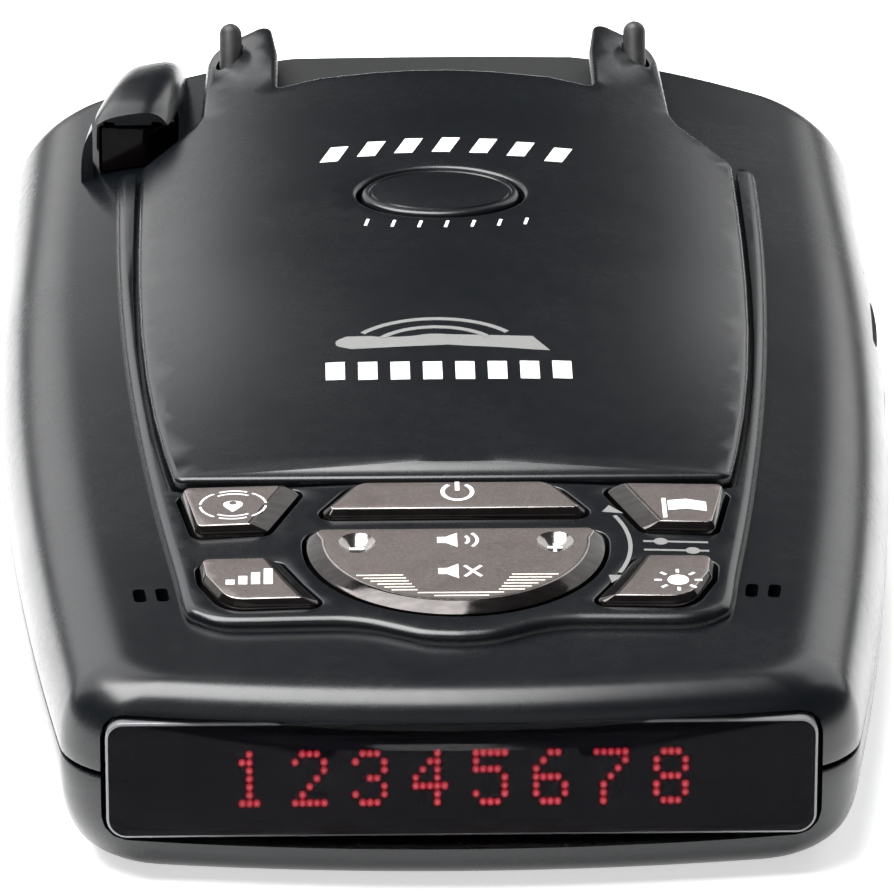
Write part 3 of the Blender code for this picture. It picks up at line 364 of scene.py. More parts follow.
class Skin:
    """A surface made of rings of points that bands join and that triangles fill between."""

    def __init__(self):
        self.bm = bmesh.new()

    def ring(self, loop, height):
        return [self.bm.verts.new((p[0] * MM, p[1] * MM, height(p[0], p[1]) * MM)) for p in loop]

    def band(self, one, two):
        for i in range(len(one)):
            corners = [one[i - 1], one[i], two[i], two[i - 1]]
            if len(set(corners)) == 4:
                self.bm.faces.new(corners)

    def rim(self, outline, height, profile, scales=None, foot=None):
        """Rings from an outline inwards: (distance in, drop below the height). foot is a ring to start from."""
        rings = [foot] if foot else []
        for distance, drop in profile:
            loop = filleted(moved_in(outline, distance, scales))
            rings.append(self.ring(loop, lambda x, y, drop=drop: height(x, y) - drop))
        for one, two in zip(rings, rings[1:]):
            self.band(one, two)
        return rings

    def fill(self, outer, holes, height, spacing=1.7):
        rings = [outer, *holes]
        loops = [[(v.co.x / MM, v.co.y / MM) for v in ring] for ring in rings]
        known = [v for ring in rings for v in ring]
        points = [p for loop in loops for p in loop]
        edges, start = [], 0
        for loop in loops:
            edges += [(start + i, start + (i + 1) % len(loop)) for i in range(len(loop))]
            start += len(loop)
        wall = np.array(points)
        low, high = wall.min(0), wall.max(0)
        xs = np.arange(low[0] + spacing / 2, high[0], spacing)
        ys = np.arange(low[1] + spacing / 2, high[1], spacing * 0.87)
        grid = np.array([(x + spacing / 2 * (j % 2), y) for j, y in enumerate(ys) for x in xs])
        if len(grid):
            grid = grid[inside(grid, loops)]
        if len(grid):
            near = ((grid[:, None, :] - wall[None]) ** 2).sum(2).min(1)
            points += [tuple(p) for p in grid[near > (0.45 * spacing) ** 2]]
        made, _, faces, source, _, _ = delaunay_2d_cdt([Vector(p) for p in points], edges, [], 0, 1e-5)
        verts = []
        for place, origin in zip(made, source):
            if origin and min(origin) < len(known):
                verts.append(known[min(origin)])
            else:
                verts.append(self.bm.verts.new((place.x * MM, place.y * MM, height(place.x, place.y) * MM)))
        centres = np.array([sum((made[i] for i in face), Vector((0, 0))) / 3 for face in faces])
        for face, kept in zip(faces, inside(centres, loops)):
            corners = [verts[i] for i in face]
            if kept and len(set(corners)) == 3 and self.bm.faces.get(corners) is None:
                self.bm.faces.new(corners)

    def made(self, name, material):
        bmesh.ops.remove_doubles(self.bm, verts=self.bm.verts, dist=1e-7)
        loose = [v for v in self.bm.verts if not v.link_faces]
        bmesh.ops.delete(self.bm, geom=loose, context="VERTS")
        bmesh.ops.recalc_face_normals(self.bm, faces=self.bm.faces)
        return soften(shown(name, mesh_from(self.bm, name), material))


def shown(name, mesh, material=None):
    obj = bpy.data.objects.new(name, mesh)
    bpy.context.scene.collection.objects.link(obj)
    if material and not mesh.materials:
        mesh.materials.append(material)
    return obj


def soften(obj, angle=32):
    obj.data.shade_smooth()
    obj.data.set_sharp_from_angle(angle=math.radians(angle))
    return obj


def apply_modifiers(obj):
    """Keeps the mesh that the modifiers make, and takes the modifiers off."""
    bpy.context.view_layer.update()
    mesh = bpy.data.meshes.new_from_object(obj.evaluated_get(bpy.context.evaluated_depsgraph_get()))
    obj.modifiers.clear()
    obj.data = mesh
    return obj


def combine(obj, others, operation):
    """A Boolean with meshes that are then removed."""
    for other in others:
        modifier = obj.modifiers.new("combine", "BOOLEAN")
        modifier.operation, modifier.solver, modifier.object = operation, "EXACT", other
        apply_modifiers(obj)
        bpy.data.objects.remove(other)
    return soften(obj)


def joined(name, parts):
    """Several meshes as one piece."""
    bm = bmesh.new()
    for part in parts:
        bm.from_mesh(part.data)
    mesh = mesh_from(bm, name)
    for material in parts[0].data.materials:
        mesh.materials.append(material)
    for part in parts:
        bpy.data.objects.remove(part)
    return soften(shown(name, mesh))


def flat(height):
    return lambda x, y: height


def plate(name, outline, height, base, material, rim=0.3, holes=(), spacing=1.7):
    """A closed slab: its top follows height with a rounded rim, and its underside is at base."""
    skin = Skin()
    round_off = [(rim * (1 - math.cos(a)), rim * (1 - math.sin(a))) for a in (0, 0.35, 0.7, 1.05, 1.57)]
    start = skin.ring(filleted(outline), base)
    rings = skin.rim(outline, height, round_off, foot=start)
    tops, feet = [], []
    for hole in holes:
        foot = skin.ring(filleted(hole[::-1]), base)
        feet.append(foot)
        tops.append(skin.rim(hole[::-1], height, round_off, foot=foot)[-1])
    skin.fill(rings[-1], tops, height, spacing)
    skin.fill(start, feet, base, spacing)
    return skin.made(name, material)


def block(low, high, radius=0.0, name="block", material=None):
    """A box between two corners with rounded edges."""
    bm = bmesh.new()
    bmesh.ops.create_cube(bm, size=1.0)
    low, high = Vector(low) * MM, Vector(high) * MM
    bmesh.ops.scale(bm, vec=high - low, verts=bm.verts)
    bmesh.ops.translate(bm, vec=(low + high) / 2, verts=bm.verts)
    if radius:
        bmesh.ops.bevel(bm, geom=bm.edges, offset=radius * MM, segments=3, profile=0.5, affect="EDGES")
    return soften(shown(name, mesh_from(bm, name), material))


def turned(name, profile, start, way, material, segments=48):
    """A turned shape: profile is (radius, distance along way), closed where the radius is 0."""
    bm = bmesh.new()
    axis = Vector(way).to_track_quat("Z", "Y").to_matrix()
    rings = []
    for radius, along in profile:
        if radius == 0:
            rings.append([bm.verts.new((Vector(start) + axis @ Vector((0, 0, along))) * MM)])
            continue
        angles = [2 * math.pi * k / segments for k in range(segments)]
        spots = [axis @ Vector((radius * math.cos(a), radius * math.sin(a), along)) for a in angles]
        rings.append([bm.verts.new((Vector(start) + p) * MM) for p in spots])
    for one, two in zip(rings, rings[1:]):
        count = max(len(one), len(two))
        for i in range(count):
            corners = [one[(i - 1) % len(one)], one[i % len(one)], two[i % len(two)], two[(i - 1) % len(two)]]
            corners = list(dict.fromkeys(corners))
            if len(corners) > 2:
                bm.faces.new(corners)
    bmesh.ops.recalc_face_normals(bm, faces=bm.faces)
    return soften(shown(name, mesh_from(bm, name), material))


def upright_plate(name, half, low, high, front, thick, corner, rim, material, edge, bow=END_BOW):
    """A standing plate with rounded corners and edges that follows the bulge of the display end."""
    outline = [(-half, low, corner), (half, low, corner), (half, high, corner), (-half, high, corner)]
    skin = Skin()
    round_off = [(rim * (1 - math.cos(a)), rim * (1 - math.sin(a))) for a in (0, 0.35, 0.7, 1.05, 1.57)]

    def face(x, z):
        return -(front + bow * x * x)

    back = skin.ring(filleted(outline), lambda x, z: face(x, z) - thick)
    rings = skin.rim(outline, face, round_off, foot=back)
    # The rim and side faces take the second material; on the display lens it is a light grey, a painted highlight line.
    for part in skin.bm.faces:
        part.material_index = 1
    skin.fill(rings[-1], [], face, 2.0)
    skin.fill(back, [], lambda x, z: face(x, z) - thick, 2.0)
    obj = skin.made(name, material)
    obj.data.materials.append(edge)
    for vert in obj.data.vertices:
        x, z, out = vert.co
        vert.co = (x, -out, z)
    return obj


def arc(centre, radii, start, end, count=20):
    """Points of an elliptical arc between two angles in degrees."""
    angles = [math.radians(start + (end - start) * k / count) for k in range(count + 1)]
    return [(centre[0] + radii[0] * math.cos(a), centre[1] + radii[1] * math.sin(a)) for a in angles]


def stroke(points, width):
    """The outline of a line of that width through points."""
    points = [Vector(p) for p in points]
    left, right = [], []
    for i, here in enumerate(points):
        way = (points[min(i + 1, len(points) - 1)] - points[max(i - 1, 0)]).normalized()
        side = Vector((-way.y, way.x)) * width / 2
        left.append(here + side)
        right.append(here - side)
    return [(p.x, p.y, 0) for p in [*right, *reversed(left)]]


def printed(name, shapes, height, material, body, slot, lift=0.03):
    """Thin print that lies on a surface. Each shape is an outline, or a tuple of an outline and its hole."""
    skin = Skin()
    for shape in shapes:
        outlines = shape if isinstance(shape, tuple) else [shape]
        loops = [[(p[0], p[1]) for p in outline] for outline in outlines]
        top = [skin.ring(loop, lambda x, y: height(x, y) + lift) for loop in loops]
        low = [skin.ring(loop, lambda x, y: height(x, y) - lift) for loop in loops]
        for one, two in zip(low, top):
            skin.band(one, two)
        skin.fill(top[0], top[1:], lambda x, y: height(x, y) + lift, 1.2)
        skin.fill(low[0], low[1:], lambda x, y: height(x, y) - lift, 1.2)
    return worn_by(skin.made(name, material), body, slot)


def worn_by(obj, body, slot=None, *nodes):
    """obj moves with that body and stands for those CAD nodes; slot is not used."""
    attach(obj, body)
    if nodes:
        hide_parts(*nodes)
    return obj


# Finishes


class Value:
    """A socket in a node tree that arithmetic works on."""

    def __init__(self, tree, socket):
        self.tree, self.socket = tree, socket

    def combined(self, operation, other, swapped=False):
        pair = (other, self) if swapped else (self, other)
        return add_node(self.tree, "ShaderNodeMath", dict(enumerate(pair)), operation=operation)

    def __add__(self, other):
        return self.combined("ADD", other)

    def __sub__(self, other):
        return self.combined("SUBTRACT", other)

    def __mul__(self, other):
        return self.combined("MULTIPLY", other)

    def __truediv__(self, other):
        return self.combined("DIVIDE", other)

    def __pow__(self, other):
        return self.combined("POWER", other)

    def __gt__(self, other):
        return self.combined("GREATER_THAN", other)

    def __radd__(self, other):
        return self.combined("ADD", other, True)

    def __rsub__(self, other):
        return self.combined("SUBTRACT", other, True)

    def __rmul__(self, other):
        return self.combined("MULTIPLY", other, True)

    def __rtruediv__(self, other):
        return self.combined("DIVIDE", other, True)


def add_node(tree, kind, inputs=(), output=0, **settings):
    """Adds a node: its settings first, then its inputs, by name or by number among those in use."""
    made = tree.nodes.new(kind)
    for name, value in settings.items():
        setattr(made, name, value)
    usable = [s for s in made.inputs if s.enabled]
    for key, value in dict(inputs).items():
        socket = usable[key] if isinstance(key, int) else next(s for s in usable if s.name == key)
        if isinstance(value, Value):
            tree.links.new(value.socket, socket)
        else:
            socket.default_value = value
    given = [s for s in made.outputs if s.enabled]
    if not given:
        return None
    return Value(tree, given[output] if isinstance(output, int) else made.outputs[output])


def rgb(red, green, blue):
    return (red, green, blue, 1.0)


class Finish:
    """A material while its nodes are being made. Sizes are in millimetres."""

    def __init__(self, name):
        self.material = bpy.data.materials.new(name)
        self.material.use_nodes = True
        self.tree = self.material.node_tree
        self.tree.nodes.clear()
        self.place = self.add("ShaderNodeTexCoord", output="Object")

    def add(self, kind, inputs=(), output=0, **settings):
        return add_node(self.tree, kind, inputs, output, **settings)

    def noise(self, size, detail=2.0, place=None):
        inputs = {"Vector": place or self.place, "Scale": 1 / (size * MM), "Detail": detail}
        return self.add("ShaderNodeTexNoise", inputs)

    def stretched(self, x, y, z):
        return self.add("ShaderNodeVectorMath", {0: self.place, 1: (x, y, z)}, operation="MULTIPLY")

    def cells(self, size, output="Distance", **settings):
        inputs = {"Vector": self.place, "Scale": 1 / (size * MM)}
        return self.add("ShaderNodeTexVoronoi", inputs, output, **settings)

    def spread(self, value, low, high, start=0.3, end=0.7):
        """low where value is at start or under, high where it is at end or over."""
        inputs = {0: value, 1: start, 2: end, 3: low, 4: high}
        return self.add("ShaderNodeMapRange", inputs, interpolation_type="SMOOTHSTEP")

    def mix(self, factor, one, two):
        return self.add("ShaderNodeMix", {"Factor": factor, "A": one, "B": two}, data_type="RGBA")

    def bump(self, height, strength, depth, under=None):
        inputs = {"Strength": strength, "Distance": depth * MM, "Height": height}
        if under:
            inputs["Normal"] = under
        return self.add("ShaderNodeBump", inputs)

    def made(self, colour, roughness, **others):
        """Ends the material with one Principled shader."""
        inputs = {"Base Color": colour, "Roughness": roughness}
        inputs.update({name.replace("_", " "): value for name, value in others.items()})
        shader = self.add("ShaderNodeBsdfPrincipled", inputs)
        self.add("ShaderNodeOutputMaterial", {"Surface": shader})
        return self.material


def moulded(name, colour, lighter, roughness, grain=0.35, level=0.5):
    """Moulded plastic: a fine even grain, faint flow marks, handling smudges and a little settled dust."""
    f = Finish(name)
    smudge = f.noise(14.0, 3.0)
    flow = f.noise(30.0, 2.0, f.stretched(1.0, 0.4, 1.0))
    dust = f.noise(0.35, 3.0)
    tone = f.mix(f.spread(flow, 0.0, 0.6) + f.spread(dust, 0.0, 0.4, 0.62, 0.8), colour, lighter)
    rough = roughness + f.spread(smudge, -0.01, 0.02) + f.spread(f.noise(1.2, 3.0), 0.0, 0.02)
    return f.made(tone, rough, Normal=f.bump(f.noise(0.16, 2.0), grain, 0.010), Specular_IOR_Level=level)


def metal_paint():
    """Metallic paint on the key caps: fine flake under a clear coat, worn a little where fingers rest."""
    f = Finish("key_paint_look")
    flake = f.cells(0.09, "Color")
    flake = f.add("ShaderNodeSeparateColor", {"Color": flake})
    worn = f.spread(f.noise(3.0, 4.0), 0.0, 1.0, 0.45, 0.75)
    tone = f.mix(f.spread(flake, 0.0, 0.55, 0.2, 1.0), rgb(0.104, 0.086, 0.080), rgb(0.185, 0.163, 0.154))
    tone = f.mix(worn * 0.25, tone, rgb(0.16, 0.14, 0.13))
    rough = 0.42 - 0.10 * worn + f.spread(f.noise(0.4), 0.0, 0.06)
    bump = f.bump(flake, 0.12, 0.01)
    return f.made(tone, rough, Metallic=0.45, Normal=bump, Coat_Weight=0.35, Coat_Roughness=0.12)


def dark_chrome():
    """The keys' polished bevels."""
    f = Finish("dark_chrome_look")
    marks = f.noise(1.6, 4.0, f.stretched(1.0, 3.0, 1.0))
    tone = f.mix(f.spread(marks, 0.0, 1.0), rgb(0.030, 0.027, 0.026), rgb(0.045, 0.041, 0.040))
    rough = 0.08 + f.spread(f.noise(0.7, 3.0), 0.0, 0.04)
    return f.made(tone, rough, Metallic=0.85, Normal=f.bump(f.noise(0.8), 0.1, 0.01))


def bright_chrome(name, roughness):
    f = Finish(name)
    marks = f.noise(0.9, 4.0)
    tone = f.mix(f.spread(marks, 0.0, 1.0), rgb(0.26, 0.24, 0.23), rgb(0.32, 0.30, 0.29))
    rough = roughness + f.spread(f.noise(0.5, 3.0), 0.0, 0.04)
    return f.made(tone, rough, Metallic=0.95, Normal=f.bump(marks, 0.02, 0.01))


def smoked(name, colour, lighter, alpha):
    """Tinted polycarbonate: glossy, with faint wipe marks and specks."""
    f = Finish(name)
    wipe = f.noise(5.0, 5.0, f.stretched(0.3, 1.0, 1.6))
    speck = f.spread(f.noise(0.25, 2.0), 0.0, 1.0, 0.70, 0.80)
    tone = f.mix(f.spread(wipe, 0.0, 0.7) + speck * 0.3, colour, lighter)
    rough = 0.045 + f.spread(wipe, 0.0, 0.05) + speck * 0.15
    clear = alpha + f.spread(wipe, 0.0, 0.03)
    return f.made(tone, rough, Alpha=clear, Normal=f.bump(f.noise(20.0), 0.03, 0.01), Specular_IOR_Level=0.05)


def rubber():
    f = Finish("soft_rubber_look")
    bloom = f.spread(f.noise(1.5, 4.0), 0.0, 1.0)
    tone = f.mix(bloom, rgb(0.012, 0.012, 0.013), rgb(0.028, 0.028, 0.029))
    return f.made(
        tone,
        0.42 + f.spread(f.noise(0.6), 0.0, 0.15),
        Normal=f.bump(f.noise(0.12, 3.0), 0.5, 0.02),
    )


def ink(name, colour, worn_colour, wear=0.35):
    """Pad print: a little uneven at the edges of wear, and matt."""
    f = Finish(name)
    worn = f.spread(f.noise(0.45, 4.0), 0.0, wear, 0.52, 0.78)
    tone = f.mix(worn, colour, worn_colour)
    return f.made(tone, 0.5 + f.spread(f.noise(0.8), 0.0, 0.15), Normal=f.bump(f.noise(0.1), 0.2, 0.006))


def circuit_board():
    """Solder mask over copper traces, with plated holes and flux stains."""
    f = Finish("circuit_board_look")
    path = f.cells(2.1, "Distance", feature="DISTANCE_TO_EDGE", distance="EUCLIDEAN")
    trace = f.spread(path, 1.0, 0.0, 0.06, 0.10)
    hole = f.spread(f.cells(1.7, "Distance", distance="EUCLIDEAN"), 1.0, 0.0, 0.10, 0.13)
    stain = f.spread(f.noise(4.0, 4.0), 0.0, 1.0)
    mask = f.mix(stain * 0.5, rgb(0.012, 0.11, 0.045), rgb(0.02, 0.15, 0.055))
    tone = f.mix(trace * 0.7, mask, rgb(0.05, 0.27, 0.09))
    tone = f.mix(hole, tone, rgb(0.55, 0.50, 0.38))
    bump = f.bump(trace + hole, 0.5, 0.03)
    return f.made(tone, 0.32 + stain * 0.15 - hole * 0.1, Metallic=hole * 0.8, Normal=bump)


def plain_finish(name, colour, lighter, roughness, spot, metallic=0.0, grain=0.2, stretch=(1, 1, 1)):
    """A finish with patches of a second tone, varied gloss and a grain that may run one way."""
    f = Finish(name)
    place = f.stretched(*stretch)
    patch = f.spread(f.noise(spot, 4.0, place), 0.0, 1.0)
    fine = f.noise(spot * 0.12, 3.0, place)
    tone = f.mix(patch, colour, lighter)
    rough = roughness + patch * 0.08 + f.spread(fine, 0.0, 0.06)
    return f.made(tone, rough, Metallic=metallic, Normal=f.bump(fine, grain, 0.02))


def lamp(name, rim, core, strength):
    """A display dot, brighter in its middle."""
    f = Finish(name)
    middle = f.add("ShaderNodeAttribute", output="Fac", attribute_name="core")
    tone = f.mix(f.spread(middle, 0.0, 1.0, 0.2, 0.95), rim, core)
    tone = f.mix(f.spread(f.noise(0.2), 0.0, 0.25), tone, rim)
    emission = {"Emission_Color": tone, "Emission_Strength": strength}
    return f.made(rgb(0.02, 0.003, 0.004), 0.4 + f.spread(f.noise(0.3), 0.0, 0.1), **emission)


BLACK = moulded("satin_black_look", rgb(0.0026, 0.0036, 0.0050), rgb(0.0038, 0.0048, 0.0062), 0.25, 0.14)
POCKET = moulded("matt_black_look", rgb(0.010, 0.0105, 0.011), rgb(0.013, 0.0135, 0.014), 0.55, level=0.35)
PAINT = metal_paint()
CHROME = dark_chrome()
DIMPLE = bright_chrome("dimple_look", 0.14)
# Bright chrome for the top band of each key bevel: a painted highlight line where bevel meets face.
BEVEL_HIGHLIGHT_EDGE = bright_chrome("bevel_edge_look", 0.2)
LENS = smoked("smoked_lens_look", rgb(0.003, 0.003, 0.004), rgb(0.005, 0.0045, 0.006), 0.80)
SENSOR_LENS = smoked("sensor_lens_look", rgb(0.002, 0.0015, 0.002), rgb(0.004, 0.002, 0.003), 0.95)
WINDOW = moulded("window_black_look", rgb(0.008, 0.008, 0.010), rgb(0.012, 0.012, 0.013), 0.12, 0.08)
# Light grey on the display lens's rounded rim and sides: a painted highlight line round the lens.
LENS_EDGE_HIGHLIGHT = moulded("lens_edge_look", rgb(0.16, 0.16, 0.17), rgb(0.20, 0.20, 0.21), 0.14, 0.05)
RUBBER = rubber()
WHITE_INK = ink("white_ink", rgb(0.86, 0.87, 0.88), rgb(0.55, 0.55, 0.55))
GREY_INK = ink("grey_ink", rgb(0.19, 0.19, 0.185), rgb(0.12, 0.12, 0.12))
CREAM_INK = ink("cream_ink", rgb(0.80, 0.72, 0.64), rgb(0.42, 0.36, 0.32))
BOARD = circuit_board()
PART = plain_finish("component_look", rgb(0.014, 0.014, 0.015), rgb(0.030, 0.030, 0.032), 0.45, 2.5)
STEEL = plain_finish(
    "steel_look",
    rgb(0.50, 0.50, 0.51),
    rgb(0.66, 0.66, 0.67),
    0.24,
    4.0,
    1.0,
    0.25,
    (1, 0.2, 1),
)
ZINC = plain_finish("zinc_look", rgb(0.36, 0.36, 0.38), rgb(0.52, 0.52, 0.54), 0.42, 5.0, 1.0, 0.5)
CERAMIC = plain_finish("ceramic_look", rgb(0.48, 0.40, 0.31), rgb(0.60, 0.53, 0.43), 0.55, 3.0)
PAPER = plain_finish("paper_look", rgb(0.030, 0.030, 0.030), rgb(0.060, 0.058, 0.055), 0.85, 1.5, 0.0, 0.8)
DISPLAY_BLACK = plain_finish(
    "display_black_look",
    rgb(0.001, 0.001, 0.001),
    rgb(0.002, 0.002, 0.002),
    0.85,
    2.5,
)
EPOXY = plain_finish("epoxy_look", rgb(0.020, 0.004, 0.014), rgb(0.040, 0.008, 0.024), 0.12, 2.0)
LIT = lamp("lit_dot", rgb(0.80, 0.010, 0.030), rgb(1.0, 0.26, 0.32), 14.0)
# The unlit dots also emit faintly: a painted glow, brighter in their middle, so they show though switched off.
UNLIT = lamp("unlit_dot", rgb(0.02, 0.0015, 0.002), rgb(0.035, 0.003, 0.004), 0.4)

CAD_FINISH = {
    BOARD: ("main_board", "key_board", "display_board", "front_laser_board", "mixer_board"),
    PART: ("board_header", "brightness_switch", "gps_switch", "mark_switch", "mute_carrier",
           "mute_switch", "power_switch", "power_jack", "earphone_jack", "rear_laser_sensor", "release_latch",
           "sensitivity_switch", "speaker_magnet", "volume_down_switch", "volume_up_switch"),
    STEEL: ("board_screw_1", "board_screw_2", "bridge_screw_left", "bridge_screw_right", "gps_receiver",
            "housing_screw_1", "housing_screw_2", "housing_screw_3", "housing_screw_4", "mixer_shield",
            "release_spring", "speaker_basket", "spring_bridge", "usb_jack"),
    ZINC: ("horn_antenna",),
    CERAMIC: ("gps_antenna",),
    PAPER: ("speaker_cone",),
    EPOXY: ("front_laser_sensor",),
    DISPLAY_BLACK: ("led_display",),
}
for look, names in CAD_FINISH.items():
    for name in names:
        for material_slot in frame["nodes"][name].material_slots:
            material_slot.material = look


# Housing

DECK_TILT = math.atan(12.5 / 124)
DECK = Matrix.Translation(Vector((0, -40, top_height(0, -40))) * MM) @ Matrix.Rotation(DECK_TILT, 4, "X")
WALL = 1.6
# Superellipse powers of the upper and lower edges: sides, display end, road end.
EDGE_SHAPE = {True: (2.6, 2.7, 3.0), False: (2.8, 2.8, 2.8)}
SCREWS = ((-28.3, -38.0), (28.3, -38.0), (-32.0, 48.0), (32.0, 48.0))
GRILLE = [(-2.4 + 2.8 * row, 11.5 if 0 < row < 6 else 8.0) for row in range(7)]


def along_deck(y):
    return (y + 40) / math.cos(DECK_TILT)


def deck_block(low, high, radius=0.0, name="cutter", material=None):
    """A block between corners given in the deck's own frame."""
    obj = block(low, high, radius, name, material)
    obj.data.transform(DECK)
    return obj


def shell_ring(skin, above, turn, inset, foot=None):
    """A ring of a housing half: turn goes from 0 at the seam to 1 where the flat face starts."""
    rolls = (SIDE_ROLL, NEAR_ROLL, FAR_ROLL) if above else (BELLY_SIDE, BELLY_NEAR, BELLY_FAR)
    angle = turn * math.pi / 2
    spans = [math.cos(angle) ** (2 / p) for p in EDGE_SHAPE[above]]
    rises = [math.sin(angle) ** (2 / p) for p in EDGE_SHAPE[above]]
    ins = [inset + roll * (1 - span) for roll, span in zip(rolls, spans)]
    reached = 1 - spans[0]
    loop = housing_loop(*ins, 4.2 - 1.0 * reached, 4.8 - 1.6 * reached)
    points = []
    for x, y, near, far in loop:
        rise = rises[0] * (1 - near - far) + rises[1] * near + rises[2] * far
        seam = seam_height(y) + (SEAM_GAP / 2 if above else -SEAM_GAP / 2)
        face = shell_height(x, y) - inset if above else inset
        height = seam + (face - seam) * rise if foot is None else seam + foot
        points.append(skin.bm.verts.new((x * MM, y * MM, height * MM)))
    return points


def shell_sides(skin, above, inset, seam_round):
    """All the rings of one face of a housing half, from the seam to the flat."""
    rings = []
    if seam_round:
        rings.append(shell_ring(skin, above, 0.0, inset + 0.28, 0.0))
        rings.append(shell_ring(skin, above, 0.0, inset + 0.08, 0.06 if above else -0.06))
        start = shell_ring(skin, above, 0.0, inset, 0.28 if above else -0.28)
        rings.append(start)
    turns = [0.06, 0.13, 0.21, 0.29, 0.37, 0.45, 0.53, 0.61, 0.69, 0.77, 0.85, 0.92, 0.97, 1.0]
    if not seam_round:
        turns = [0.0, 0.15, 0.3, 0.45, 0.6, 0.75, 0.9, 1.0]
    rings += [shell_ring(skin, above, turn, inset) for turn in turns]
    for one, two in zip(rings, rings[1:]):
        skin.band(one, two)
    return rings[0], rings[-1]


HOLE_RIM = [(0, 0.14), (0.03, 0.06), (0.08, 0.015), (0.14, 0)]
DECK_RIM = [(0.04, 0.68), (0.14, 0.4), (0.32, 0.18), (0.58, 0.05), (0.9, 0)]


def inner_height(x, y):
    return top_height(x, y) - 2.0


def post(x, y, profile):
    """A standing turned shape, closed at both ends."""
    ends = [(0, profile[0][1]), *profile, (0, profile[-1][1])]
    return turned("post", ends, (x, y, 0), (0, 0, 1), BLACK)


def top_shell():
    skin = Skin()
    seam, face = shell_sides(skin, True, 0.0, True)
    inner_seam, inner_face = shell_sides(skin, True, WALL, False)
    skin.band(seam, inner_seam)
    outline, scales = deck_outline()
    deck_foot = skin.ring(filleted(outline), shell_height)
    deck_edge = skin.rim(outline, deck_height, DECK_RIM, scales, deck_foot)[-1]
    feet, key_edges = [], []
    for key in KEYS.values():
        hole = moved_in(key, -KEY_CLEAR)
        foot = skin.ring(filleted(hole[::-1]), inner_height)
        key_edges.append(skin.rim(hole[::-1], deck_height, HOLE_RIM, foot=foot)[-1])
        feet.append(foot)
    skin.fill(face, [deck_foot], shell_height, 1.5)
    skin.fill(deck_edge, key_edges, deck_height, 1.3)
    skin.fill(inner_face, feet, inner_height, 3.0)
    shell = skin.made("upper_housing", BLACK)
    bosses = []
    for x, y in SCREWS:
        low, high = seam_height(y) + SEAM_GAP, top_height(x, y)
        bosses.append(post(x, y, [(1.3, high - 4.5), (1.3, low), (2.6, low), (2.6, high - 1.2)]))
    combine(shell, [pod_hood(), *bosses], "UNION")
    button_hole = turned("cutter", [(0, -4), (2.4, -4), (2.4, 2), (0, 2)], (0, 0, 0), (0, 0, 1), None)
    button_hole.data.transform(DECK @ Matrix.Translation(Vector((0, along_deck(BUTTON_Y), 0)) * MM))
    tooth = along_deck(BUTTON_Y) + 3.2
    tooth_hole = deck_block((-3.4, tooth, -4), (3.4, tooth + 2.6, 2))
    vents = [vent_outline(side, number) for side in (-1, 1) for number in (0, 1)]
    vents = [plate("vent", vent, flat(19.0), flat(11.0), BLACK, 0.05) for vent in vents]
    combine(shell, [button_hole, tooth_hole, *vents, *side_notches()], "DIFFERENCE")
    shell.data.materials.append(POCKET)
    for face in shell.data.polygons:
        x, y, z = face.center / MM
        if abs(x) < SLOT_HALF + 1.6 and y > 45 and face.normal.z > 0.9 and z > 22:
            face.material_index = 1
    return worn_by(shell, "housing", "satin_black_plastic", "top_housing")


def side_notches():
    """Cutters for the display, the road windows and the sockets, which open through both halves."""
    high, low = LENS_HIGH + LENS_GAP, LENS_LOW - LENS_GAP
    display = block((-LENS_HALF - LENS_GAP, -75, low), (LENS_HALF + LENS_GAP, -57, high), 1.5 + LENS_GAP)
    window = block((-24.3, 59.5, 4.7), (12.3, 80, 21.3), 0.8)
    lens = turned("cutter", [(0, 0), (6.7, 0), (6.7, 22), (0, 22)], (22, 58, 13.5), (0, 1, 0), None)
    power = block((27, 13.2, 10.1), (50, 23.8, 17.2), 0.7)
    ear = turned("cutter", [(0, 0), (3.3, 0), (3.3, 17), (0, 17)], (33.5, 31, 13), (1, 0, 0), None)
    usb = block((33.5, -0.6, 9.3), (50, 8.6, 14.7), 0.7)
    return [display, window, lens, power, ear, usb]


def bottom_shell():
    skin = Skin()
    seam, face = shell_sides(skin, False, 0.0, True)
    inner_seam, inner_face = shell_sides(skin, False, WALL, False)
    skin.band(seam, inner_seam)
    edges, roots = [], []
    for y, reach in GRILLE:
        slot = [
            (-reach, y - 0.6, 0.55),
            (reach, y - 0.6, 0.55),
            (reach, y + 0.6, 0.55),
            (-reach, y + 0.6, 0.55),
        ]
        foot = skin.ring(filleted(slot[::-1]), flat(WALL))
        rim = skin.rim(slot[::-1], flat(0.0), [(0, -0.2), (0.05, -0.07), (0.18, 0)], foot=foot)
        edges.append(rim[-1])
        roots.append(foot)
    skin.fill(face, edges, flat(0.0), 4.0)
    skin.fill(inner_face, roots, flat(WALL), 4.0)
    shell = skin.made("lower_housing", BLACK)
    bosses, recesses = [], []
    for x, y in SCREWS:
        high = seam_height(y) - SEAM_GAP
        bosses.append(post(x, y, [(1.4, 4.2), (1.4, high), (3.4, high), (3.4, 1.0)]))
        recesses.append(post(x, y, [(2.8, -1), (2.8, 0.1), (2.5, 0.4), (2.5, 4.0)]))
    combine(shell, bosses, "UNION")
    combine(shell, [*recesses, *side_notches()], "DIFFERENCE")
    return worn_by(shell, "housing", "satin_black_plastic", "bottom_housing")


# The rear window's fairing: y, centre, half width and top of each of its cross sections
POD_SECTIONS = (
    (41.7, -27.6, 4.3, 28.9),
    (44.5, -27.2, 4.3, 29.5),
    (50.0, -26.4, 4.0, 29.7),
    (56.0, -25.8, 3.4, 29.0),
    (60.4, -25.3, 2.8, 27.6),
)
POD_LEAN = 0.16


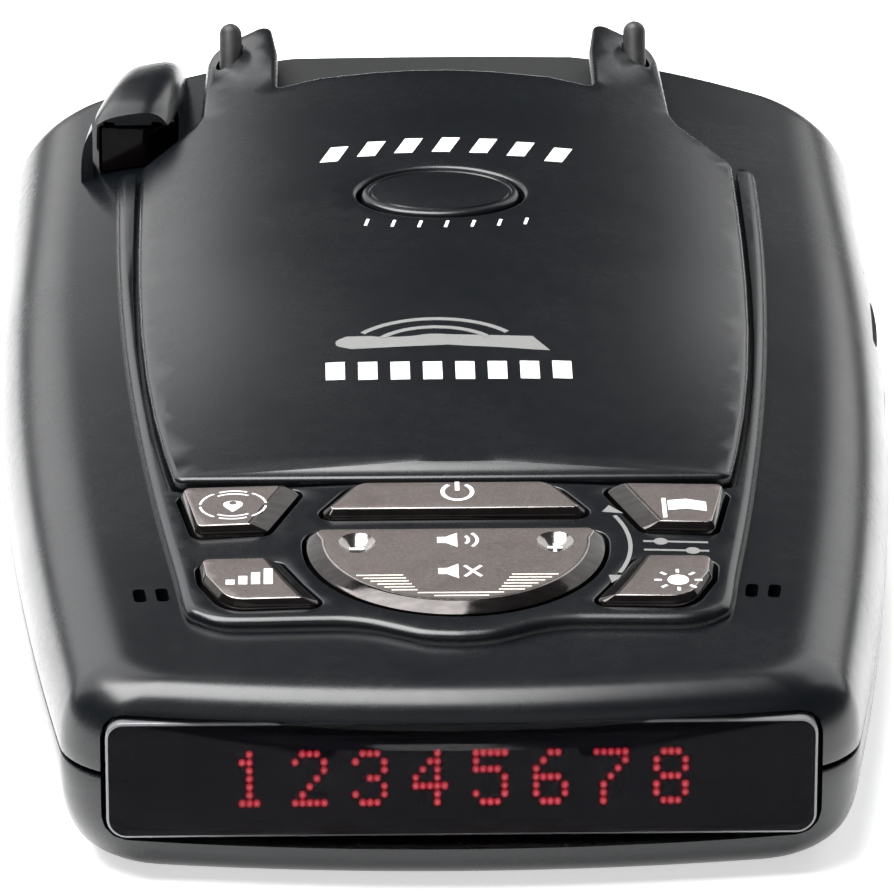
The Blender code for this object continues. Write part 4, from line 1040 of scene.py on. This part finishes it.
def pod_hood():
    """The fairing over the rear laser window, a loaf that narrows towards the road end."""
    rows = []
    for k in range(len(POD_SECTIONS) - 1):
        picked = [POD_SECTIONS[max(0, min(len(POD_SECTIONS) - 1, k + d))] for d in (-1, 0, 1, 2)]
        for step in range(6):
            t = step / 6
            ends = -t / 2 + t * t - t**3 / 2, -t * t / 2 + t**3 / 2
            weights = ends[0], 1 - 2.5 * t * t + 1.5 * t**3, t / 2 + 2 * t * t - 1.5 * t**3, ends[1]
            rows.append([sum(w * row[i] for w, row in zip(weights, picked)) for i in range(4)])
    rows.append(list(POD_SECTIONS[-1]))
    bm = bmesh.new()
    rings = []
    for y, centre, half, top in rows:
        base = top_height(abs(centre), y) - 1.4
        ring = []
        for k in range(33):
            angle = math.pi * k / 32
            across = half * abs(math.cos(angle)) ** 0.62 * math.copysign(1, math.cos(angle))
            height = base + (top + POD_LEAN * across - base) * math.sin(angle) ** 0.62
            ring.append(bm.verts.new(Vector((centre + across, y, height)) * MM))
        rings.append(ring)
    for one, two in zip(rings, rings[1:]):
        for i in range(len(one)):
            bm.faces.new((one[i - 1], one[i], two[i], two[i - 1]))
    for ring in (rings[0], rings[-1]):
        bm.faces.new(ring)
    bmesh.ops.recalc_face_normals(bm, faces=bm.faces)
    mesh = mesh_from(bm, "hood")
    mouth = [(-30.6, 38.0, 0.4), (-23.3, 38.0, 0.4), (-23.0, 48.7, 0.4), (-31.2, 48.7, 0.4)]
    pocket = plate("cutter", mouth, flat(27.9), lambda x, y: top_height(x, y) - 0.6, BLACK, 0.3)
    notches = [block((x - 0.5, 38, 27.6), (x + 0.5, 42.6, 28.25), 0.15) for x in (-29.3, -25.0)]
    return combine(shown("hood", mesh, BLACK), [pocket, *notches], "DIFFERENCE")


def cowl():
    """The raised cover over the bracket slot, with two forks that reach the road end."""
    opening = oval(BUTTON_X_HALF + 0.4, BUTTON_Y_HALF + 0.4, BUTTON_Y)

    def base(x, y):
        return top_height(x, y) + 0.3

    cover = plate("bracket_cowl", cowl_outline(), cowl_height, base, BLACK, 0.45, [opening])
    channel = deck_block((-SLOT_HALF, along_deck(SLOT_START), -6), (SLOT_HALF, along_deck(80), SLOT_ROOF))
    combine(cover, [channel, stud("cutter", -1, 0.35), stud("cutter", 1, 0.35)], "DIFFERENCE")
    return worn_by(cover, "housing", "satin_black_plastic", "mount_cowl")


def stud(name, side, more=0.0, material=None):
    """A small round-ended rubber stud that leans towards the windscreen."""
    foot, tip = Vector((side * 18.5, 56.4, 28.0)), Vector((side * 18.5, 58.4, 31.0))
    radius, length = 1.02 + more, (tip - foot).length
    quarter = [math.pi / 2 * k / 8 for k in range(9)]
    profile = [(radius * math.sin(a) if k else 0, -radius * math.cos(a)) for k, a in enumerate(quarter)]
    profile += [
        (radius * math.cos(a) if k < 8 else 0, length + radius * math.sin(a)) for k, a in enumerate(quarter)
    ]
    return turned(name, profile, foot, tip - foot, material, 40)


def release_button():
    outline = oval(BUTTON_X_HALF, BUTTON_Y_HALF, BUTTON_Y)
    skin = Skin()

    def face(x, y):
        away = (x / BUTTON_X_HALF) ** 2 + ((y - BUTTON_Y) / BUTTON_Y_HALF) ** 2
        return top_height(x, y) + BUTTON_RISE - 0.25 * away

    def base(x, y):
        return top_height(0, y) + 1.7

    start = skin.ring(filleted(outline), base)
    rim = [(0, 0.35), (0.06, 0.17), (0.18, 0.05), (0.36, 0), (0.62, 0), (0.7, 0.09), (0.86, 0.09), (0.94, 0)]
    rings = skin.rim(outline, face, rim, foot=start)
    skin.fill(rings[-1], [], face, 0.9)
    skin.fill(start, [], base, 2.0)
    cap = skin.made("cap", BLACK)
    stem = turned("stem", [(0, -2.1), (2.0, -2.1), (2.0, 2.0), (0, 2.0)], (0, 0, 0), (0, 0, 1), BLACK)
    stem.data.transform(DECK @ Matrix.Translation(Vector((0, along_deck(BUTTON_Y), 0)) * MM))
    return worn_by(joined("release_cap", [cap, stem]), "release", "satin_black_plastic", "release_button")


# Keys

KEY_BASE = -3.1
BEVEL = [(0, 0.62), (0.05, 0.52), (0.12, 0.44), (0.44, 0.08), (0.50, 0.03), (0.6, 0)]
KEY_SIDES = {
    "gps_key": [0.6, (0.6, 0.9), (0.9, 2.7), (2.7, 0.6)],
    "mark_key": [(0.6, 2.7), (2.7, 0.9), (0.9, 0.6), 0.6],
    "sensitivity_key": [0.6, 0.7, 0.8, (0.8, 2.6), 2.4, (2.2, 0.6)],
    "brightness_key": [(0.6, 2.2), 2.4, (2.6, 0.8), 0.8, 0.7, 0.6],
    "power_key": [(1.4, 0.9), (0.9, 1.4), (1.4, 0.6), (0.6, 1.4)],
    "volume_key": [2.4] * 41 + [1.8, 0.9, 0.9, 1.8],
}  # how wide the bevel is at each corner, or on the two sides that meet there
KEY_STEMS = {
    "gps_key": [(-17.6, -32.4)],
    "sensitivity_key": [(-16.4, -45.0)],
    "power_key": [(0.0, -31.3)],
    "mark_key": [(17.6, -32.4)],
    "brightness_key": [(16.4, -45.0)],
    "volume_key": [(-8.4, -40.6), (8.4, -40.6)],
}
DIMPLES = (-7.9, 7.9)
DIMPLE_Y, DIMPLE_ROUND, DIMPLE_TALL, DIMPLE_DEEP = -39.5, 1.5, 1.15, 0.8


def in_dimple(x, y):
    """The height just above the bowl of the nearer dimple."""
    away = ((abs(x) - DIMPLES[1]) / DIMPLE_ROUND) ** 2 + ((y - DIMPLE_Y) / (DIMPLE_ROUND * DIMPLE_TALL)) ** 2
    return key_height(x, y) - DIMPLE_DEEP * max(0.0, 1 - away) + 0.04


def dimple_loop(x, radius):
    return [(px + x, py) for px, py, _ in oval(radius, radius * DIMPLE_TALL, DIMPLE_Y, 48)]


def dimple(x):
    """A polished hollow for a fingertip: a shallow bowl with a rim."""
    skin = Skin()
    rings = []
    for part in (1.0, 0.97, 0.9, 0.78, 0.62, 0.44, 0.24):
        loop = dimple_loop(x, DIMPLE_ROUND * part)
        depth = DIMPLE_DEEP * (1 - part**2)
        rings.append(skin.ring(loop, lambda px, py, depth=depth: key_height(px, py) - depth))
    loop = dimple_loop(x, DIMPLE_ROUND)
    under = skin.ring(loop, lambda px, py: key_height(px, py) - 1.2)
    for one, two in zip(rings, rings[1:]):
        skin.band(one, two)
    skin.band(under, rings[0])
    skin.fill(rings[-1], [], lambda px, py: key_height(px, py) - DIMPLE_DEEP * 0.95, 0.5)
    skin.fill(under, [], lambda px, py: key_height(px, py) - 1.2, 1.0)
    name = "volume_down_dimple" if x < 0 else "volume_up_dimple"
    return worn_by(skin.made(name, DIMPLE), "volume_key", "key_paint")


def key_cap(name, outline):
    """A key with its bevels, its flange under the deck and the stems that push the switches."""
    skin = Skin()

    def base(x, y):
        return top_height(x, y) + KEY_BASE

    start = skin.ring(filleted(outline), base)
    rings = skin.rim(outline, key_height, BEVEL, KEY_SIDES[name], foot=start)
    bevel_faces = len(skin.bm.faces)
    holes = []
    if name == "volume_key":
        for x in DIMPLES:
            loop = dimple_loop(x, DIMPLE_ROUND + 0.01)
            edge = skin.ring(loop, key_height)
            pit = skin.ring(loop, lambda px, py: key_height(px, py) - 1.3)
            skin.band(edge, pit)
            skin.fill(pit, [], lambda px, py: key_height(px, py) - 1.3, 1.5)
            holes.append(edge)
    skin.fill(rings[-1], holes, key_height, 0.9)
    # The bevel takes dark chrome, and its last band next to the face takes the bright chrome, a painted highlight line.
    for number, face in enumerate(list(skin.bm.faces)[:bevel_faces]):
        face.material_index = 1 if number < bevel_faces - len(rings[-1]) else 2
    skin.fill(start, [], base, 2.5)
    cap = skin.made("cap", PAINT)
    cap.data.materials.append(CHROME)
    cap.data.materials.append(BEVEL_HIGHLIGHT_EDGE)
    flange = plate("flange", moved_in(outline, -0.3), base, lambda x, y: base(x, y) - 0.8, PAINT, 0.05)
    stems = []
    for x, y in KEY_STEMS[name]:
        stem = turned(
            "stem",
            [(0, -4.5), (1.3, -4.5), (1.3, -3.3), (0, -3.3)],
            (0, 0, 0),
            (0, 0, 1),
            PAINT,
            24,
        )
        stem.data.transform(DECK @ Matrix.Translation(Vector((x, along_deck(y), 0)) * MM))
        stems.append(stem)
    whole = joined(name + "_cap", [cap, flange, *stems])
    return worn_by(whole, name, "key_paint", name)


# Printed marks


def bars(centre, widths, step, thick):
    """Lines one under another."""
    x, y = centre
    top = y + step * (len(widths) - 1) / 2
    return [
        stroke([(x - w / 2, top - k * step), (x + w / 2, top - k * step)], thick)
        for k, w in enumerate(widths)
    ]


def key_marks():
    def on_key(name, key, shapes, material=WHITE_INK):
        printed(name, shapes, key_height, material, key, "key_paint")

    ring = stroke(arc((0.3, -30.8), (1.2, 1.45), 125, 415), 0.34)
    on_key("power_mark", "power_key", [ring, stroke([(0.3, -29.1), (0.3, -30.6)], 0.36)])
    x, y = -17.8, -32.5
    dashes = [stroke(arc((x, y), (2.65, 2.45), start, start + 50, 8), 0.18) for start in range(5, 360, 60)]
    inner = [stroke(arc((x, y), (2.15, 1.95), start, start + 70, 8), 0.18) for start in (55, 235)]
    pin = [(x, y - 1.25, 0.1), (x + 0.95, y + 0.1, 0.7), (x, y + 1.35, 0.95), (x - 0.95, y + 0.1, 0.7)]
    eye = oval(0.32, 0.36, y + 0.35, 20)
    on_key("gps_mark", "gps_key", [*dashes, *inner, (filleted(pin), [(px + x, py, 0) for px, py, _ in eye])])
    on_key("sensitivity_mark", "sensitivity_key", [
        [
            (-18.3 + k, -46.3, 0),
            (-17.6 + k, -46.3, 0),
            (-17.6 + k, -45.5 + 0.6 * k, 0),
            (-18.3 + k, -45.5 + 0.6 * k, 0),
        ]
        for k in range(4)
    ])
    flag = [
        (17.2, -32.3, 0),
        (17.2, -34.0, 0),
        (18.7, -33.7, 0),
        (20.3, -34.1, 0),
        (20.3, -32.5, 0),
        (18.7, -32.0, 0),
    ]
    on_key("mark_mark", "mark_key", [stroke([(16.9, -35.3), (16.9, -31.9)], 0.34), flag])
    x, y = 17.4, -46.1
    rays = []
    for a in (math.pi / 4 * k for k in range(8)):
        way = Vector((math.cos(a), 0.95 * math.sin(a)))
        rays.append(stroke([Vector((x, y)) + way * 1.3, Vector((x, y)) + way * 1.9], 0.26))
    sun = [(px + x, py, 0) for px, py, _ in oval(0.85, 0.85, y, 28)]
    on_key("brightness_mark", "brightness_key", [sun, *rays])
    horn = [
        (-1.5, -38.7, 0),
        (-1.5, -39.7, 0),
        (-0.8, -39.7, 0),
        (0.1, -40.4, 0),
        (0.1, -38.0, 0),
        (-0.8, -38.7, 0),
    ]
    waves = [stroke(arc((0.1, -39.2), (r, r * 1.05), -42, 42, 8), 0.26) for r in (0.9, 1.6)]
    quiet = [(px, py - 5.3, 0) for px, py, _ in horn]
    cross = [stroke([(0.6, -45.4), (1.9, -43.6)], 0.28), stroke([(0.6, -43.6), (1.9, -45.4)], 0.28)]
    minus = stroke([(-8.5, -39.3), (-7.3, -39.3)], 0.28)
    plus = [stroke([(7.3, -39.3), (8.5, -39.3)], 0.28), stroke([(7.9, -39.9), (7.9, -38.7)], 0.28)]
    on_key("volume_marks", "volume_key", [horn, *waves, quiet, *cross])
    printed("volume_signs", [minus, *plus], in_dimple, WHITE_INK, "volume_key", "key_paint")
    stripes = []
    for side in (-1, 1):
        for k in range(6):
            y = -45.1 - 0.5 * k
            outer = 8.0 - 0.55 * k
            stripes.append(stroke([(side * outer, y), (side * (4.3 - 0.22 * k), y)], 0.17))
    stripes += [stroke([(-3.2, -48.1), (3.6, -48.1)], 0.17), stroke([(-1.9, -48.6), (2.4, -48.6)], 0.17)]
    on_key("volume_stripes", "volume_key", stripes, CREAM_INK)


def housing_marks():
    curve = arc((1.75, -38.6), (12.2, 12.2), -24, 24, 24)
    heads = [
        [(11.9, -33.0, 0), (13.6, -33.2, 0), (12.5, -31.8, 0)],
        [(12.2, -45.3, 0), (13.3, -44.0, 0), (12.0, -44.0, 0)],
    ]
    slider = bars((17.6, -38.8), (5.2, 5.2), 1.5, 0.3)
    knobs = [
        [(px + x, py, 0) for px, py, _ in oval(0.58, 0.58, y, 16)]
        for x, y in ((16.4, -38.05), (18.9, -39.55))
    ]
    shapes = [stroke(curve, 0.34), *heads, *slider, *knobs]
    printed("adjust_mark", shapes, deck_height, GREY_INK, "housing", "satin_black_plastic")
    slanted = []
    for k in range(7):
        x = -9.6 + 3.3 * k
        y = 31.0 + 1.9 * (1 - (x / 12) ** 2)
        slanted.append(
            [(x - 0.9, y - 1.6, 0), (x + 0.7, y - 1.6, 0), (x + 1.7, y + 1.4, 0), (x + 0.1, y + 1.4, 0)],
        )
    printed("cowl_bars", slanted, cowl_height, WHITE_INK, "housing", "satin_black_plastic")
    small = []
    for k in range(7):
        x = -6.6 + 2.3 * k
        y = 16.3 + 0.8 * (x / 7) ** 2
        small.append(stroke([(x, y - 0.65), (x + 0.25, y + 0.65)], 0.28))
    printed("release_marks", small, cowl_height, WHITE_INK, "housing", "satin_black_plastic")
    arcs = [stroke(arc((-1.0, -7.0), (r, r * 0.72), 35, 145, 24), 0.5) for r in (3.4, 5.4, 7.4)]
    sweep = [
        (-10.2, -5.6, 0.8),
        (-8.0, -6.6, 0),
        (0.0, -6.2, 0),
        (8.6, -7.0, 0),
        (7.2, -4.6, 0),
        (0.0, -4.4, 0),
        (-8.4, -4.4, 0),
    ]
    printed("radar_arcs", [*arcs, filleted(sweep)], cowl_height, GREY_INK, "housing", "satin_black_plastic")
    dashes = []
    for k in range(8):
        x = -9.4 + 2.7 * k
        y = -10.6 + 2.2 * ((x / 11) ** 2) * 0.2
        dashes.append(
            [(x - 0.8, y - 1.5, 0), (x + 0.8, y - 1.5, 0), (x + 0.8, y + 1.5, 0), (x - 0.8, y + 1.5, 0)],
        )
    printed("cowl_dashes", dashes, cowl_height, WHITE_INK, "housing", "satin_black_plastic")


# Display

DIGITS = {
    "1": ("..#..", ".##..", "..#..", "..#..", "..#..", "..#..", ".###."),
    "2": (".###.", "#...#", "....#", "...#.", "..#..", ".#...", "#####"),
    "3": (".###.", "#...#", "....#", "..##.", "....#", "#...#", ".###."),
    "4": ("...#.", "..##.", ".#.#.", "#..#.", "#####", "...#.", "...#."),
    "5": ("#####", "#....", "####.", "....#", "....#", "#...#", ".###."),
    "6": ("..##.", ".#...", "#....", "####.", "#...#", "#...#", ".###."),
    "7": ("#####", "....#", "...#.", "..#..", ".#...", ".#...", ".#..."),
    "8": (".###.", "#...#", "#...#", ".###.", "#...#", "#...#", ".###."),
}
DOT_STEP_X, DOT_STEP_Z, DIGIT_STEP = 0.56, 0.69, 4.68
DISPLAY_LEFT, DISPLAY_TOP, DISPLAY_FRONT = -17.6, 10.2, -59.45


def dot_mesh(name, radius):
    """A shallow dome facing the viewer, whose "core" is 1 in the middle and 0 at the edge."""
    bm = bmesh.new()
    core = bm.verts.layers.float.new("core")
    tip = bm.verts.new((0, -0.08 * MM, 0))
    tip[core] = 1.0
    rings = []
    for part, out in ((0.5, 0.06), (1.0, 0.0)):
        ring = []
        for k in range(10):
            a = 2 * math.pi * k / 10
            vert = bm.verts.new(
                (radius * part * math.cos(a) * MM, -out * MM, radius * 1.15 * part * math.sin(a) * MM),
            )
            vert[core] = 1 - part
            ring.append(vert)
        rings.append(ring)
    for i in range(10):
        bm.faces.new((tip, rings[0][i - 1], rings[0][i]))
        bm.faces.new((rings[0][i - 1], rings[1][i - 1], rings[1][i], rings[0][i]))
    bm.faces.new(rings[1])
    bmesh.ops.recalc_face_normals(bm, faces=bm.faces)
    return mesh_from(bm, name)


def repeated(name, spots, item, material, scale_low=1.0, scale_high=1.0, seed=1):
    """One mesh set at every spot by Geometry Nodes, each with its own small change of size."""
    cloud = bpy.data.meshes.new(name)
    cloud.from_pydata([tuple(c * MM for c in spot) for spot in spots], [], [])
    obj = shown(name, cloud)
    source = shown(name + "_item", item)
    tree = bpy.data.node_groups.new(name + "_nodes", "GeometryNodeTree")
    tree.interface.new_socket("Points", in_out="INPUT", socket_type="NodeSocketGeometry")
    for label, kind in (("Item", "NodeSocketObject"), ("Finish", "NodeSocketMaterial"), ("Smallest", "NodeSocketFloat"),
                        ("Largest", "NodeSocketFloat"), ("Seed", "NodeSocketInt")):
        tree.interface.new_socket(label, in_out="INPUT", socket_type=kind)
    tree.interface.new_socket("Made", in_out="OUTPUT", socket_type="NodeSocketGeometry")
    given = tree.nodes.new("NodeGroupInput")

    def wired(label):
        return Value(tree, given.outputs[label])

    limits = {"Min": wired("Smallest"), "Max": wired("Largest"), "Seed": wired("Seed")}
    size = add_node(tree, "FunctionNodeRandomValue", limits, data_type="FLOAT")
    shape = add_node(tree, "GeometryNodeObjectInfo", {"Object": wired("Item")}, "Geometry")
    inputs = {"Points": wired("Points"), "Instance": shape, "Scale": size}
    placed = add_node(tree, "GeometryNodeInstanceOnPoints", inputs)
    real = add_node(tree, "GeometryNodeRealizeInstances", {"Geometry": placed})
    finished = add_node(tree, "GeometryNodeSetMaterial", {"Geometry": real, "Material": wired("Finish")})
    add_node(tree, "NodeGroupOutput", {"Made": finished})
    modifier = obj.modifiers.new(name, "NODES")
    modifier.node_group = tree
    values = {"Item": source, "Finish": material, "Smallest": scale_low, "Largest": scale_high, "Seed": seed}
    for socket in tree.interface.items_tree:
        if socket.in_out == "INPUT" and socket.name in values:
            modifier[socket.identifier] = values[socket.name]
    apply_modifiers(obj)
    bpy.data.objects.remove(source)
    return obj


def display_dots():
    lit, unlit = [], []
    for place, digit in enumerate("12345678"):
        for row, line in enumerate(DIGITS[digit]):
            for column, mark in enumerate(line):
                x = DISPLAY_LEFT + DIGIT_STEP * place + DOT_STEP_X * column
                spot = (x, DISPLAY_FRONT, DISPLAY_TOP - DOT_STEP_Z * row)
                (lit if mark == "#" else unlit).append(spot)
    dots = repeated("lit_dots", lit, dot_mesh("dot", 0.30), LIT, 0.95, 1.05)
    worn_by(dots, "housing", "dark_component")
    dots = repeated("unlit_dots", unlit, dot_mesh("dot", 0.24), UNLIT, 0.95, 1.05, 2)
    worn_by(dots, "housing", "dark_component")


def display_end():
    lens = upright_plate(
        "display_window",
        LENS_HALF,
        LENS_LOW,
        LENS_HIGH,
        LENS_FRONT,
        1.6,
        1.5,
        0.22,
        LENS,
        LENS_EDGE_HIGHLIGHT,
    )
    worn_by(lens, "housing", "smoked_window", "display_lens")
    display_dots()


def road_end():
    window = block((-24.0, 60.4, 5.0), (12.0, 62.2, 21.0), 0.6, "radar_window", WINDOW)
    worn_by(window, "housing", "window_black", "front_window")
    dome = [(0, 0), (6.4, 0), (6.4, 1.6), (6.2, 2.1), (5.7, 2.4), (4.0, 2.55), (2.0, 2.6), (0, 2.6)]
    lens = turned("road_laser_lens", dome, (22.0, 59.0, 13.5), (0, 1, 0), SENSOR_LENS)
    worn_by(lens, "housing", "smoked_window", "front_laser_lens")
    nose = [
        (-30.3, 45.6, 0.3),
        (-30.3, 42.6, 0.5),
        (-26.0, 41.9, 1.0),
        (-23.5, 43.6, 0.8),
        (-23.4, 45.6, 0.3),
    ]
    window = plate(
        "rear_laser_window",
        nose,
        flat(27.7),
        lambda x,
        y: top_height(x, y) + 0.2,
        SENSOR_LENS,
        0.35,
    )
    worn_by(window, "housing", "smoked_window", "rear_laser_lens")
    for side, node in ((-1, "bumper_left"), (1, "bumper_right")):
        worn_by(stud(node.replace("bumper", "stud"), side, 0.0, RUBBER), "housing", "soft_rubber", node)


# Camera, floor and light


def look(azimuth, elevation):
    a, e = math.radians(azimuth), math.radians(elevation)
    return Vector((math.sin(a) * math.cos(e), -math.cos(a) * math.cos(e), math.sin(e)))


def camera():
    data = bpy.data.cameras.new("camera")
    data.lens, data.sensor_width, data.clip_start = 293.2, 36.0, 0.01
    obj = bpy.data.objects.new("camera", data)
    obj.location = Vector((-12.0, -578.2, 234.8)) * MM
    obj.rotation_mode = "QUATERNION"
    obj.rotation_quaternion = (-look(-1.2, 21.0)).to_track_quat("-Z", "Y")
    bpy.context.scene.collection.objects.link(obj)
    bpy.context.scene.camera = obj


def soft_light(name, azimuth, elevation, distance, width, height, power):
    """A softbox that faces the object; azimuth 0 is the viewer's side."""
    data = bpy.data.lights.new(name, "AREA")
    data.shape, data.size, data.size_y, data.energy = "RECTANGLE", width, height, power
    obj = bpy.data.objects.new(name, data)
    way = look(azimuth, elevation)
    obj.location = way * distance
    obj.rotation_mode = "QUATERNION"
    obj.rotation_quaternion = way.to_track_quat("Z", "Y")
    bpy.context.scene.collection.objects.link(obj)
    return obj


def studio():
    bm = bmesh.new()
    bmesh.ops.create_grid(bm, x_segments=1, y_segments=1, size=4.0)
    mesh = mesh_from(bm, "floor")
    floor_look = plain_finish(
        "floor_look",
        rgb(0.86, 0.86, 0.86),
        rgb(0.88, 0.88, 0.88),
        0.8,
        300.0,
        0.0,
        0.0,
    )
    glow = next(node for node in floor_look.node_tree.nodes if node.type == "BSDF_PRINCIPLED")
    glow.inputs["Emission Color"].default_value = rgb(1.0, 1.0, 1.0)
    glow.inputs["Emission Strength"].default_value = 0.6
    shown("floor", mesh, floor_look)
    world = bpy.data.worlds.new("studio")
    world.use_nodes = True
    world.node_tree.nodes["Background"].inputs["Color"].default_value = rgb(1.0, 1.0, 1.0)
    world.node_tree.nodes["Background"].inputs["Strength"].default_value = 0.04
    bpy.context.scene.world = world
    bpy.context.scene.view_settings.view_transform = "Standard"
    soft_light("left_box", -140, 32, 1.0, 0.9, 0.8, 4.1)
    soft_light("right_box", 138, 32, 1.0, 0.8, 0.75, 3.4)
    soft_light("top_box", -90, 72, 0.9, 0.7, 0.7, 21.0)
    soft_light("front_box", -15, 40, 1.2, 1.2, 0.3, 0.5)


def main():
    top_shell()
    bottom_shell()
    cowl()
    release_button()
    for name, outline in KEYS.items():
        key_cap(name, outline)
    for x in DIMPLES:
        dimple(x)
    key_marks()
    housing_marks()
    display_end()
    road_end()
    camera()
    studio()


main()
